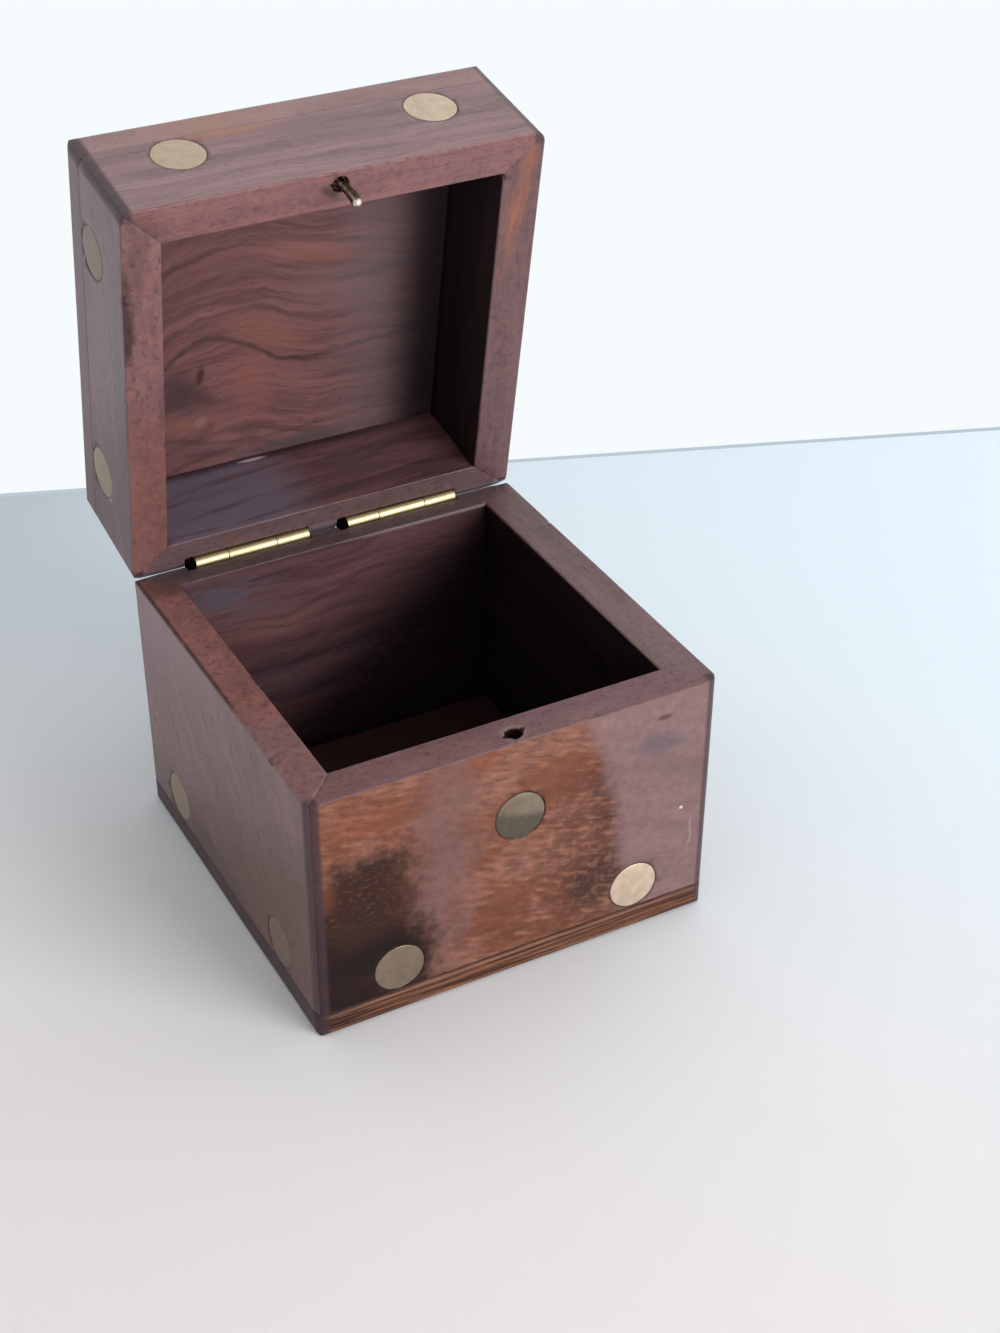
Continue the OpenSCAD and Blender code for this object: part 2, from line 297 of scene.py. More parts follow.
along_edge = (EDGE_RIGHT - EDGE_LEFT).normalized()
out_front = Vector((along_edge.y, -along_edge.x, 0))
mid_edge = (EDGE_LEFT + EDGE_RIGHT) / 2
far_left = mid_edge - along_edge * FLOOR_REACH
far_right = mid_edge + along_edge * FLOOR_REACH
up = Vector((0, 0, 1))
near = out_front * 2 * FLOOR_REACH
stage_sheet("floor", [far_left, far_left + near, far_right + near, far_right], floor_finish())
join_top = [far_right + up * JOIN_H, far_left + up * JOIN_H]
stage_sheet("backdrop_join", [far_left, far_right] + join_top, backdrop_finish("backdrop_join", JOIN_COLOUR))
backdrop_top = [c + up * BACKDROP_RISE for c in reversed(join_top)]
stage_sheet("backdrop", join_top + backdrop_top, backdrop_finish("backdrop", BACKDROP_COLOUR, True))

# %% [markdown]
# The shadows inside the box show where its light comes from: a wide, soft window low at the front
# right, with a white room that fills the shade. One large lamp and a plain pale world stand for them.

# %% Lights
WINDOW_TURN, WINDOW_RISE = math.radians(28), math.radians(23)
WINDOW_FAR = 1.2
WINDOW_SIZE = 0.75
WINDOW_WATTS = 10.6
WINDOW_COLOUR = (1.0, 0.99, 0.98)
ROOM_COLOUR = (1.0, 0.99, 0.99)
ROOM_LEVEL = 0.64
window_way = Vector((math.sin(WINDOW_TURN), -math.cos(WINDOW_TURN), math.tan(WINDOW_RISE))).normalized()


def soft_lamp(name, place, size, watts, colour):
    data = bpy.data.lights.new(name, "AREA")
    data.size = size
    data.energy = watts
    data.color = colour
    lamp = scene_object(name, data)
    lamp.matrix_world = Matrix.Translation(place) @ place.to_track_quat("Z", "Y").to_matrix().to_4x4()


soft_lamp("window", window_way * WINDOW_FAR, WINDOW_SIZE, WINDOW_WATTS, WINDOW_COLOUR)
world = bpy.data.worlds.new("room")
bpy.context.scene.world = world
world.use_nodes = True
room = world.node_tree
background = room.nodes["Background"]
background.inputs["Strength"].default_value = 1.0
room_light = room.nodes.new("ShaderNodeMix")
room_light.data_type = "RGBA"
room_light.inputs[6].default_value = (*[c * ROOM_LEVEL for c in ROOM_COLOUR], 1)
room_light.inputs[7].default_value = (*BACKDROP_COLOUR, 1)
room.links.new(room.nodes.new("ShaderNodeLightPath").outputs["Is Camera Ray"], room_light.inputs[0])
room.links.new(room_light.outputs[2], background.inputs["Color"])
bpy.context.scene.view_settings.view_transform = "Standard"
print("window towards", [round(v, 2) for v in window_way], "room", ROOM_LEVEL)

# %% [markdown]
# The boards of a hand-made box are never quite flat or sharp. One slow, smooth field of tiny shifts
# moves every wooden piece and every pip alike, so joints stay closed while each face gets the slight
# waves that break up its reflections. The seed keeps the field the same in every run.

# %% The slow unevenness that all pieces share
WAVE_MM = 22.0
WAVE_DEPTH = 0.07
WAVE_SEED = 1
noise.seed_set(WAVE_SEED)


def uneven(point):
    return point + noise.noise_vector(point / WAVE_MM) * WAVE_DEPTH


# %% [markdown]
# Each board starts as a copy of its CAD node. The copy is merged, its flat faces are joined, and the
# edges that hands and sandpaper reach are eased: the rims inside and outside, and a hair along the
# glue lines of the base and the top panel. Mitred ends stay sharp, because there the boards meet.

# %% Helpers for board meshes
RIM_EASE = 0.38
GLUE_EASE = 0.1
GRID = 2.5
FLAT = 0.01
MERGE = 0.002
PLANE_FIT = 0.001
FLAT_TURN = math.radians(0.5)
OUTLINE_TURN = math.radians(30)
SHARP = math.radians(40)
RIMS = (BODY_H, LID_RIM)
GLUE_LINES = (BASE_T, LID_WALL_TOP)


def shut_mesh(node):
    bm = bmesh.new()
    bm.from_mesh(nodes[node].data)
    bm.transform(to_shut[body_of[node]])
    bmesh.ops.remove_doubles(bm, verts=bm.verts, dist=MERGE)
    bmesh.ops.dissolve_limit(bm, angle_limit=FLAT_TURN, verts=bm.verts, edges=bm.edges)
    return bm


def at_level(edge, levels):
    zs = [v.co.z for v in edge.verts]
    return any(all(abs(z - level) < FLAT for z in zs) for level in levels)


def on_mitre(edge):
    left, right = -HALF + WALL, HALF - RIGHT_WALL
    front, back = -HALF + WALL, HALF - BACK_WALL
    for inner, outer in (((left, front), (-HALF, -HALF)), ((right, front), (HALF, -HALF)),
                         ((left, back), (-HALF, HALF)), ((right, back), (HALF, HALF))):
        run = Vector(outer) - Vector(inner)
        if all(abs(run.cross(v.co.xy - Vector(inner))) < FLAT * run.length * 3 for v in edge.verts):
            return True
    return False


def outline_edges(bm, levels):
    corners = [e for e in bm.edges if len(e.link_faces) == 2 and e.is_convex]
    corners = [e for e in corners if e.calc_face_angle(0) > OUTLINE_TURN]
    return [e for e in corners if at_level(e, levels) and not on_mitre(e)]


def near_box_side(edge):
    reach = HALF - EDGE_R - FLAT
    return all(max(abs(v.co.x), abs(v.co.y)) > reach for v in edge.verts)


def ease_edges(bm, edges, width, steps):
    if edges:
        bmesh.ops.bevel(bm, geom=edges, offset=width, segments=steps, profile=0.5, affect="EDGES",
                        offset_type="OFFSET", clamp_overlap=True)


def cut_grid(bm, pitch, low=None, high=None):
    for axis in range(3):
        spots = [v.co[axis] for v in bm.verts]
        start = min(spots) if low is None else low[axis]
        stop = max(spots) if high is None else high[axis]
        count = int((stop - start) / pitch)
        normal = Vector([1.0 if i == axis else 0.0 for i in range(3)])
        for step in range(1, count + 1):
            place = normal * (start + step * (stop - start) / (count + 1))
            if low is None:
                part = bm.verts[:] + bm.edges[:] + bm.faces[:]
            else:
                faces = [f for f in bm.faces if inside_box(f.calc_center_median(), low, high)]
                edges = list(dict.fromkeys(e for f in faces for e in f.edges))
                part = list(dict.fromkeys(v for e in edges for v in e.verts)) + edges + faces
            bmesh.ops.bisect_plane(bm, geom=part, plane_co=place, plane_no=normal, dist=PLANE_FIT)


def inside_box(point, low, high):
    return all(l <= p <= h for l, p, h in zip(low, point, high))


# %% [markdown]
# Small damage is part of the look: chips along the rims, and the torn edge of the hole that the catch
# pin has worn. Each is a point, a reach, a direction and a depth, with noise that makes it ragged.

# %% Chips and dents
DENT_END = 1.6
DENT_SOFT = 0.45
DENT_GRAIN, DENT_RAGGED = 1.7, 0.6
CHIP_ROOM = 1.7
CHIP_PITCH = 0.25
CHIP_SEED = 7.3


def unit(value):
    return min(1.0, max(0.0, value))


def dent(bm, centre, reach, push, seed):
    centre, push = Vector(centre), Vector(push)
    for v in bm.verts:
        away = Vector([a / r for a, r in zip(v.co - centre, reach)])
        if away.length > DENT_END:
            continue
        wobble = noise.noise(v.co * DENT_GRAIN + Vector((seed, 0, 0))) * DENT_RAGGED
        share = unit((1.0 + wobble - away.length) / DENT_SOFT)
        v.co += push * share * share * (3 - 2 * share)


# %% Where the rims are chipped
CHIPS = {
    "body_left_wall": [((-HALF, -23.4, BODY_H), (0.5, 1.5, 0.6), (0.35, 0, -0.4)),
                       ((-HALF, 14.0, BODY_H), (0.4, 0.9, 0.4), (0.15, 0, -0.2)),
                       ((-31.2, -3.0, BODY_H), (0.4, 0.8, 0.4), (-0.15, 0, -0.18))],
    "lid_left_wall": [((-HALF, -21.6, LID_RIM), (0.5, 1.3, 0.6), (0.35, 0, 0.35)),
                      ((-31.2, 9.0, LID_RIM), (0.4, 1.0, 0.4), (-0.15, 0, 0.2))],
    "body_right_wall": [((HALF, 20.0, BODY_H), (0.4, 1.1, 0.4), (-0.2, 0, -0.2))],
    "lid_right_wall": [((30.4, -30.4, LID_RIM), (0.6, 0.9, 0.6), (0.2, 0, 0.3))],
    "body_front_wall": [((12.0, -HALF, BODY_H), (1.1, 0.4, 0.4), (0, 0.15, -0.18))],
}

# %% [markdown]
# The catch pin's two holes are given by the rim's height, the way into the wood and the torn radius.
# Their lobes follow, each with its direction in degrees, its reach and its width in degrees.

# %% The torn holes of the catch pin
LATCH_AT = Vector((0, -35.5))
HOLE_CUTS = {
    "body_front_wall": (BODY_H, -1, 1.5, ((190, 0.9, 24), (15, 0.9, 18), (130, 0.35, 20), (250, 0.3, 20))),
    "lid_front_wall": (LID_RIM, 1, 1.12, ((150, 0.5, 30), (185, 0.9, 16), (262, 0.4, 24))),
}
HOLE_REACH = 2.9
HOLE_DEPTH = 1.2
HOLE_PITCH = 0.22
BORE_R = 1.4
BORE_MARGIN = 0.05
TORN_SOFT = 0.25
TORN_SKIN = 0.3
TORN_DEPTH, TORN_RAGGED = 0.40, 0.30


def torn_edge(angle, level, torn_r, lobes):
    edge = torn_r + 0.22 * noise.noise(Vector((math.cos(angle) * 3.1, math.sin(angle) * 3.1, level)))
    for middle, reach, width in lobes:
        off = math.degrees(angle) - middle
        off = (off + 180) % 360 - 180
        edge += reach * math.exp(-(off / width) ** 2)
    return edge


def wear_hole(bm, level, into, torn_r, lobes):
    low = (-HOLE_REACH, LATCH_AT.y - HOLE_REACH, level - HOLE_DEPTH)
    high = (HOLE_REACH, LATCH_AT.y + HOLE_REACH, level + HOLE_DEPTH)
    cut_grid(bm, HOLE_PITCH, low, high)
    bmesh.ops.triangulate(bm, faces=[f for f in bm.faces if len(f.verts) > 4])
    torn_layer = bm.verts.layers.float.new("torn")
    for v in bm.verts:
        off = v.co.xy - LATCH_AT
        if off.length > HOLE_REACH:
            continue
        angle = math.atan2(off.y, off.x)
        share = unit((torn_edge(angle, level, torn_r, lobes) - off.length) / TORN_SOFT)
        if off.length < BORE_R + BORE_MARGIN:
            share = 1.0
        v[torn_layer] = share
        if abs(v.co.z - level) < TORN_SKIN:
            v.co.z += into * share * (TORN_DEPTH + TORN_RAGGED * noise.noise(v.co * 2.3))


# %% [markdown]
# The box's stop is the seam behind the hinges: the bevelled back edges of the lid and the body meet when
# the lid is open. The CAD model leaves a hair of room there. The finished boards close it along the
# middle and leave it open at the two ends, where the real edges are worn.

# %% Where the open lid rests on the body
SEAM_SIDE = {"body_back_wall": 1, "lid_back_wall": -1}
SEAM_Z = (BODY_H + LID_RIM) / 2
SEAM_REACH = 1.1
SEAM_START_Y = 36.42
SEAM_FILL, SEAM_OPEN = 0.14, 0.5
WORN_LEFT, WORN_RIGHT = 5.0, 3.5


def close_seam(bm, side):
    for v in bm.verts:
        if v.co.y < SEAM_START_Y or abs(v.co.z - SEAM_Z) > SEAM_REACH:
            continue
        down = (v.co.y - SEAM_START_Y) / (HALF - SEAM_START_Y)
        middle = min(unit((v.co.x + HALF) / WORN_LEFT), unit((HALF - v.co.x) / WORN_RIGHT))
        v.co.z += side * SEAM_FILL * down * ((1 + SEAM_OPEN) * middle - SEAM_OPEN)


# %% [markdown]
# A finished board goes back to its open or shut place and becomes an object that rides on its half of
# the box. Faces are shaded smooth, sharp corners are kept, and a Weighted Normal modifier keeps the
# large faces flat beside their eased edges.

# %% From a board mesh to a piece
FLAT_FACE_WEIGHT = 80


def open_mesh(bm, name, body):
    bm.transform(to_shut[body].inverted())
    mesh = bpy.data.meshes.new(name)
    bm.to_mesh(mesh)
    bm.free()
    return mesh


def smooth(mesh):
    for face in mesh.polygons:
        face.use_smooth = True


def shade(obj):
    smooth(obj.data)
    obj.data.set_sharp_from_angle(angle=SHARP)
    weigh = obj.modifiers.new("flat_faces", "WEIGHTED_NORMAL")
    weigh.keep_sharp = True
    weigh.weight = FLAT_FACE_WEIGHT


def new_piece(name, mesh, body, material):
    piece = scene_object(name, mesh)
    mesh.materials.clear()
    mesh.materials.append(material)
    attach(piece, body)
    return piece


def make_board(node, material):
    body = body_of[node]
    bm = shut_mesh(node)
    ease_edges(bm, outline_edges(bm, RIMS), RIM_EASE, 3)
    ease_edges(bm, [e for e in outline_edges(bm, GLUE_LINES) if near_box_side(e)], GLUE_EASE, 1)
    bmesh.ops.triangulate(bm, faces=bm.faces[:])
    cut_grid(bm, GRID)
    if node in HOLE_CUTS:
        wear_hole(bm, *HOLE_CUTS[node])
    if node in SEAM_SIDE:
        close_seam(bm, SEAM_SIDE[node])
    for number, (centre, reach, push) in enumerate(CHIPS.get(node, [])):
        low = [c - CHIP_ROOM * r for c, r in zip(centre, reach)]
        high = [c + CHIP_ROOM * r for c, r in zip(centre, reach)]
        cut_grid(bm, CHIP_PITCH, low, high)
        dent(bm, centre, reach, push, number * CHIP_SEED)
    for v in bm.verts:
        v.co = uneven(v.co)
    bmesh.ops.triangulate(bm, faces=bm.faces[:])
    mesh = open_mesh(bm, node + "_wood", body)
    piece = new_piece(node + "_wood", mesh, body, material)
    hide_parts(node)
    shade(piece)
    print(piece.name, len(mesh.polygons), "triangles")


# %% [markdown]
# The wood is Indian rosewood with a soft wax sheen. In all its boards the same things repeat: broad soft
# bands along the grain, thin dark growth lines that wander, fine fibre, and short open pores. These
# come from noise that is stretched along the grain. What differs is the palette and how wild the
# figure is, so one function makes the figure and each board brings its own numbers.

# %% The figure of the wood
def wood_figure(g, along, across, deep, wave=10.0, pitch=0.16, run=0.016, seed=0.0):
    slow = g.noise(g.vector(along * 0.035 + seed, across * 0.06, deep * 0.06), 2.0, 0.5)
    bent = across + (slow - 0.5) * wave
    bands = g.noise(g.vector(along * run, bent * pitch + seed, deep * pitch), 4.0, 0.6)
    line_place = g.vector(along * run * 1.2, bent * pitch * 1.6 + seed + 9.0, deep * pitch * 1.6)
    line_base = g.noise(line_place, 3.0, 0.55)
    lines = 1.0 - g.ease(abs(line_base - 0.5), 0.006, 0.045)
    fibre = g.noise(g.vector(along * 0.22 + seed, bent * 3.2, deep * 3.2), 4.0, 0.65)
    pore_base = g.noise(g.vector(along * 0.5, bent * 5.0 + seed, deep * 5.0), 1.0, 0.5)
    pores = g.ease(pore_base, 0.64, 0.74)
    return bands, lines, fibre, pores


def patch(g, a, b, wobble, centre, size, turn=0.0, soft=0.5, ragged=0.8):
    cos, sin = math.cos(math.radians(turn)), math.sin(math.radians(turn))
    u = ((a - centre[0]) * (cos / size[0]) + (b - centre[1]) * (sin / size[0])) ** 2.0
    v = ((b - centre[1]) * (cos / size[1]) - (a - centre[0]) * (sin / size[1])) ** 2.0
    far = (u + v) ** 0.5 + (wobble - 0.5) * ragged
    return g.ease(far, 1.0 + soft, 1.0 - soft)


# %% [markdown]
# Colours of the wood, in linear values: orange and red-brown heartwood, a mauve that paints the reflection of the
# bright room in the wax, and the near black of its growth lines.

# %% Palette
ORANGE = (0.175, 0.060, 0.033)
MAUVE_REFLECTION = (0.210, 0.128, 0.128)
ROSE = (0.190, 0.085, 0.080)
DARK = (0.030, 0.013, 0.013)
BLACK = (0.006, 0.003, 0.003)
GREY_BLUE = (0.100, 0.085, 0.110)
UPRIGHT_EDGE = (0.052, 0.030, 0.037)
FILLER = (0.30, 0.20, 0.21)
GLUE_LINE = (0.24, 0.14, 0.13)


def dark_mid_light(dark, mid, light):
    between = tuple((a + b) / 2 for a, b in zip(dark, mid))
    return [(0.30, dark), (0.42, between), (0.52, mid), (0.70, light)]


def tones(mid, dark=0.62, light=1.3):
    return dark_mid_light(tuple(c * dark for c in mid), mid, tuple(c * light for c in mid))


# %% Sizes and places of the pips, which the wood's marks need too
PIP_R = 4.6
PIP_X, LOW_PIP_Z = [round(sum(shut_spans("front_pip_lower_right")[i]) / 2, 2) for i in (0, 2)]
HIGH_PIP_Z, CENTRE_PIP_Z = [round(sum(shut_spans(node)[2]) / 2, 2)
                            for node in ("front_pip_upper_right", "front_pip_centre")]
LOW_PIPS = [(-PIP_X, LOW_PIP_Z), (PIP_X, LOW_PIP_Z)]
HIGH_PIPS = [(-PIP_X, HIGH_PIP_Z), (PIP_X, HIGH_PIP_Z)]
print("pips at", PIP_X, "to the side and", LOW_PIP_Z, CENTRE_PIP_Z, HIGH_PIP_Z, "up")


# %% Stops for the faces that the light hardly reaches
INNER_RED = dark_mid_light((0.055, 0.025, 0.028), (0.130, 0.058, 0.065), (0.185, 0.085, 0.088))
# The next stops paint shade: the near black of the right walls' inner faces.
INNER_SHADE = dark_mid_light((0.004, 0.003, 0.004), (0.010, 0.006, 0.008), (0.022, 0.012, 0.013))
HIDDEN_FACE = dark_mid_light((0.060, 0.028, 0.025), (0.125, 0.052, 0.042), (0.195, 0.085, 0.062))


# %% Marks that several boards share
RIM_BAND = (-0.35, -0.1)


def inside_of_walls(g, x, y):
    share = g.low(g.ease(x + (HALF - WALL), -0.3, -0.05), g.ease(x - (HALF - RIGHT_WALL), 0.3, 0.05))
    share = g.low(share, g.ease(y + (HALF - WALL), -0.3, -0.05))
    return g.low(share, g.ease(y - (HALF - BACK_WALL), 0.3, 0.05))


def upright_edges(g, x, y):
    round_in = HALF - EDGE_R - 0.3
    return g.ease(abs(x), round_in, round_in + 0.9) * g.ease(abs(y), round_in, round_in + 0.9)


def thin_line(g, value, centre, half_width):
    return 1.0 - g.ease(abs(value - centre), half_width * 0.3, half_width)


def pip_grime(g, a, b, pips):
    rings = None
    for pip_a, pip_b in pips:
        far = ((a - pip_a) ** 2.0 + (b - pip_b) ** 2.0) ** 0.5
        ring = 1.0 - g.ease(far, PIP_R + 0.10, PIP_R + 0.50)
        rings = ring if rings is None else g.high(rings, ring)
    return rings


def mottled(g, colour, place, light, dark_share, light_share):
    spots = g.noise(place, 2.0, 0.6, scale=0.60)
    moved = g.node("ShaderNodeVectorMath", {"operation": "ADD"}, (place, (31.0, 17.0, 5.0)))
    other = g.noise(moved, 2.0, 0.6, scale=0.85)
    colour = g.mix(colour, light, g.ease(spots, 0.48, 0.62) * light_share)
    return g.mix(colour, DARK, g.ease(other, 0.56, 0.68) * dark_share)


def torn_hole_shade(g):
    return g.node("ShaderNodeAttribute", {"attribute_name": "torn"}, out="Fac")


def bruised_rim(g, colour, x, y, wobble):
    far = (x ** 2.0 + (y - LATCH_AT.y) ** 2.0) ** 0.5 + (wobble - 0.5) * 2.5
    return g.mix(colour, (0.235, 0.160, 0.148), g.ease(far, 2.9, 1.9) * 0.55)


# %% [markdown]
# Wax gives the boards their finish: the colour lies under a thin, slightly uneven sheen. Pores and
# fibre drink more of it, so they are rougher and a little lower.

# %% Wax over the grain
WOOD_SHEEN = 0.35


def waxed(g, colour, lines, fibre, pores, rough=0.40, relief=0.04, sheen=WOOD_SHEEN):
    height = fibre * 0.35 - pores * 0.9 - lines * 0.15
    roughness = rough + pores * 0.2 + (fibre - 0.5) * 0.15
    return g.surface(colour, roughness, height, relief, {"Specular IOR Level": sheen})


def grain_colour(g, figure, stops, line_share=0.25, fibre_share=0.30, pore_share=0.45):
    bands, lines, fibre, pores = figure
    colour = g.ramp(bands, stops)
    colour = g.mix(colour, DARK, lines * line_share)
    colour = g.mix(colour, BLACK, pores * pore_share)
    shade_by = g.ramp(fibre, [(0.25, (0.6, 0.6, 0.6)), (0.75, (1.4, 1.4, 1.4))])
    return g.mix(colour, shade_by, fibre_share, "MULTIPLY")


# %% [markdown]
# The body's front board is the showpiece: glowing orange with short shimmering flecks, a smoky dark patch low on
# the left, a pinkish haze beside it, and a soft curved border past which the wood turns mauve. The pinkish haze
# and the mauve are painted reflections of the bright room in the wax. These are placed as ragged patches over the
# figure, where the photograph has them.

# %% Front board of the body
FLECK_SLOPE = -0.30
SMOKE = (0.025, 0.0062, 0.0035)
SMOKE_LOW = (0.006, 0.0008, 0.0005)
HAZE_REFLECTION = (0.160, 0.088, 0.084)


def front_board():
    g = Finish("front_board")
    place, x, y, z = shut_place(g, "body")
    along, across = x + z * FLECK_SLOPE, z - x * FLECK_SLOPE
    figure = wood_figure(g, along, across, y, wave=7.0, pitch=0.2, run=0.03, seed=3.0)
    bands, lines, fibre, pores = figure
    wobble = g.noise(g.vector(x * 0.16, z * 0.28, y * 0.3), 4.0, 0.65)
    broad = g.noise(g.vector(x * 0.07 + 4.0, z * 0.10, y * 0.05), 3.0, 0.55)
    fleck = g.noise(g.vector(along * 0.30, across * 0.95, y * 0.5), 3.0, 0.5)
    speckle = g.noise(place, 2.0, 0.6, scale=0.75)
    colour = grain_colour(g, figure, tones(ORANGE, 0.75, 1.25), 0.1, 0.25, 0.3)
    colour = g.mix(colour, (0.225, 0.105, 0.078), g.ease(broad, 0.44, 0.60) * 0.75)
    ragged = g.noise(g.vector(x * 0.12 + 20.0, z * 0.16, y * 0.1), 4.0, 0.6)
    # The pinkish haze is a painted reflection of the bright room in the wax.
    haze_reflection = patch(g, x + (ragged - 0.5) * 12.0, z, wobble, (-14.5, 27), (5.0, 26), -6, 0.9, 1.2)
    red = patch(g, x, z, wobble, (13, 22), (8.5, 14), -8, 0.6)
    colour = g.mix(colour, (0.095, 0.034, 0.022), red * 0.65)
    edge_x = 19.9 - (z - 12.0) * (z - 12.0) * 0.0056
    border = x - edge_x + (wobble - 0.5) * 5.5 + (fleck - 0.5) * 1.2
    # Past the curved border the wood is painted mauve: a painted reflection of the bright room in the wax.
    mauve_reflection = g.ease(border, -2.4, 2.4)
    before = g.ease(border, -6.0, -1.0) * g.ease(z, 45.0, 34.0)
    colour = g.mix(colour, (0.070, 0.028, 0.022), before * 0.55)
    low_corner = patch(g, x, z, wobble, (14.5, 14.0), (5.0, 6.0), -20, 0.5)
    colour = g.mix(colour, (0.045, 0.020, 0.016), low_corner * 0.8)
    fleck_room = g.ease(broad, 0.34, 0.52) * (1.0 - haze_reflection * 0.75) * (1.0 - mauve_reflection * 0.85)
    colour = g.mix(colour, (0.370, 0.165, 0.095), g.ease(fleck, 0.50, 0.66) * fleck_room * 0.40)
    colour = g.mix(colour, (0.080, 0.028, 0.018), g.ease(fleck, 0.48, 0.36) * fleck_room * 0.45)
    colour = g.mix(colour, (0.330, 0.150, 0.100), g.ease(speckle, 0.50, 0.70) * red * 0.28)
    colour = g.mix(colour, HAZE_REFLECTION, haze_reflection * 0.80)
    colour = g.mix(colour, g.ramp(bands, tones(MAUVE_REFLECTION, 0.85, 1.12)), mauve_reflection * 0.95)
    cloudy = g.ramp(speckle, [(0.3, (0.86, 0.84, 0.84)), (0.7, (1.14, 1.12, 1.12))])
    colour = g.mix(colour, cloudy, 0.8, "MULTIPLY")
    edge_in = x + (ragged - 0.5) * 12.0 + (speckle - 0.5) * 6.0 + z * 0.15
    top_edge = z + (ragged - 0.5) * 10.0 + (speckle - 0.5) * 6.0 - (x + 28.0) * 0.15
    dark_side = g.ease(edge_in, -11.0, -21.0) * g.ease(top_edge, 39.5, 31.5)
    orange_strip = g.ease(x, -32.5, -36.5) * g.ease(z + (ragged - 0.5) * 6.0, 25.0, 29.0)
    dark_side = dark_side * (1.0 - orange_strip * 0.7)
    colour = g.mix(colour, SMOKE, dark_side * 0.96)
    grains = g.noise(g.vector(along * 0.8 + 3.0, across * 1.4, y), 2.0, 0.55)
    glints = g.ease(grains, 0.50, 0.72) * g.ease(z, 15.0, 28.0)
    colour = g.mix(colour, (0.160, 0.078, 0.052), dark_side * glints * 0.36)
    below = dark_side * g.ease(z + (ragged - 0.5) * 8.0, 23.0, 15.0)
    band = 0.72 + g.ease(abs(z - 14.5 + (wobble - 0.5) * 3.0), 5.0, 1.0) * 0.3
    colour = g.mix(colour, SMOKE_LOW, below * (band + (bands - 0.5) * 0.6))
    crack = thin_line(g, z + (x - 13.0) * 0.2 + (wobble - 0.5) * 1.2, 28.0, 0.35)
    crack = crack * g.ease(abs(x - 16.0), 3.6, 2.4)
    colour = g.mix(colour, DARK, crack * 0.6)
    colour = g.mix(colour, GREY_BLUE, patch(g, x, z, wobble, (27.0, 39.3), (5, 1.9), -4, 0.7, 1.2) * 0.65)
    colour = g.mix(colour, DARK, patch(g, x, z, wobble, (27.4, 44.7), (1.5, 0.5), 0, 0.6, 1.0) * 0.7)
    colour = g.mix(colour, (0.62, 0.54, 0.54), patch(g, x, z, wobble, (31.9, 23.9), (0.35, 0.3), 0, 0.4, 0.2))
    scratch = thin_line(g, x + (wobble - 0.5) * 1.6, 33.9, 0.4) * g.ease(abs(z - 18.0), 5.5, 1.0)
    colour = g.mix(colour, (0.40, 0.30, 0.30), scratch * 0.35)
    colour = g.mix(colour, grain_colour(g, figure, INNER_RED, 0.3), inside_of_walls(g, x, y))
    rim = g.ease(z, *[BODY_H + step for step in RIM_BAND])
    rim_colour = grain_colour(g, figure, tones((0.182, 0.098, 0.104), 0.75, 1.15), 0.15)
    colour = g.mix(colour, mottled(g, rim_colour, place, ROSE, 0.35, 0.25), rim)
    grime = pip_grime(g, x, z, LOW_PIPS + [(0, CENTRE_PIP_Z)])
    colour = g.mix(colour, DARK, grime * g.ease(y, -36.4, -36.6) * (0.25 + wobble * 0.5))
    splice = thin_line(g, x + (y + 31.2) * 0.10, -26.6, 0.3) * rim
    colour = g.mix(colour, GLUE_LINE, splice * 0.4)
    mitre = thin_line(g, abs(x) + y, 0.0, 0.22) * rim
    colour = g.mix(colour, FILLER, mitre * g.ease(x, 0, -1) * 0.45)
    colour = g.mix(colour, bruised_rim(g, colour, x, y, wobble), rim)
    # The torn hole is painted black: painted shade in the hole and its sunken lip.
    colour = g.mix(colour, BLACK, torn_hole_shade(g) * 0.95)
    colour = g.mix(colour, UPRIGHT_EDGE, upright_edges(g, x, y) * 0.85)
    return waxed(g, colour, lines, fibre, pores, sheen=0.2)


# %% [markdown]
# The plainer boards share one recipe: a palette for the outer face, another for the rim and one for
# the inside, with dark rings round the pips and dark upright edges. Extra patches are given as a list
# of place, size, turn, colour and strength on one pair of axes.

# %% Recipe for the other boards
def plain_board(name, body, axes, outer, rim_tone, inner, figure, patches=(), pips=(), extra=None,
                rough=0.40, line_share=0.25, fibre_share=0.30, rim_spots=0.45, sheen=WOOD_SHEEN):
    g = Finish(name)
    place, x, y, z = shut_place(g, body)
    point = {"x": x, "y": y, "z": z}
    along, across, deep = (point[axis] for axis in axes)
    turn_by = figure.pop("turn", 0.0)
    cos, sin = math.cos(math.radians(turn_by)), math.sin(math.radians(turn_by))
    grain = wood_figure(g, along * cos + across * sin, across * cos - along * sin, deep, **figure)
    bands, lines, fibre, pores = grain
    wobble = g.noise(g.vector(along * 0.13, across * 0.26, deep * 0.26), 4.0, 0.65)
    rim_level, rim_side = (BODY_H, 1) if body == "body" else (LID_RIM, -1)
    rim = g.ease((z - rim_level) * rim_side, *RIM_BAND)
    inside = inside_of_walls(g, x, y)
    colour = grain_colour(g, grain, outer, line_share, fibre_share)
    colour = g.mix(colour, grain_colour(g, grain, inner, 0.3), inside)
    for centre, size, turn_deg, tone, share in patches:
        colour = g.mix(colour, tone, patch(g, along, across, wobble, centre, size, turn_deg) * share)
    rim_colour = grain_colour(g, grain, tones(rim_tone, 0.75, 1.15), 0.15)
    lighter = tuple(min(1.0, c * k) for c, k in zip(rim_tone, (1.55, 1.25, 1.15)))
    colour = g.mix(colour, mottled(g, rim_colour, place, lighter, rim_spots, rim_spots), rim)
    if extra:
        colour = extra(g, colour, x, y, z, rim, inside, wobble)
    if pips:
        skin = g.ease(abs(deep), HALF - 1.6, HALF - 1.4)
        colour = g.mix(colour, DARK, pip_grime(g, along, across, pips) * skin * (0.2 + wobble * 0.5))
    colour = g.mix(colour, UPRIGHT_EDGE, upright_edges(g, x, y) * 0.8)
    return waxed(g, colour, lines, fibre, pores, rough, sheen=sheen)


# %% Boards of the body
SEAM_LILAC_REFLECTION = (0.170, 0.130, 0.148)
BEVEL_Y = 36.2


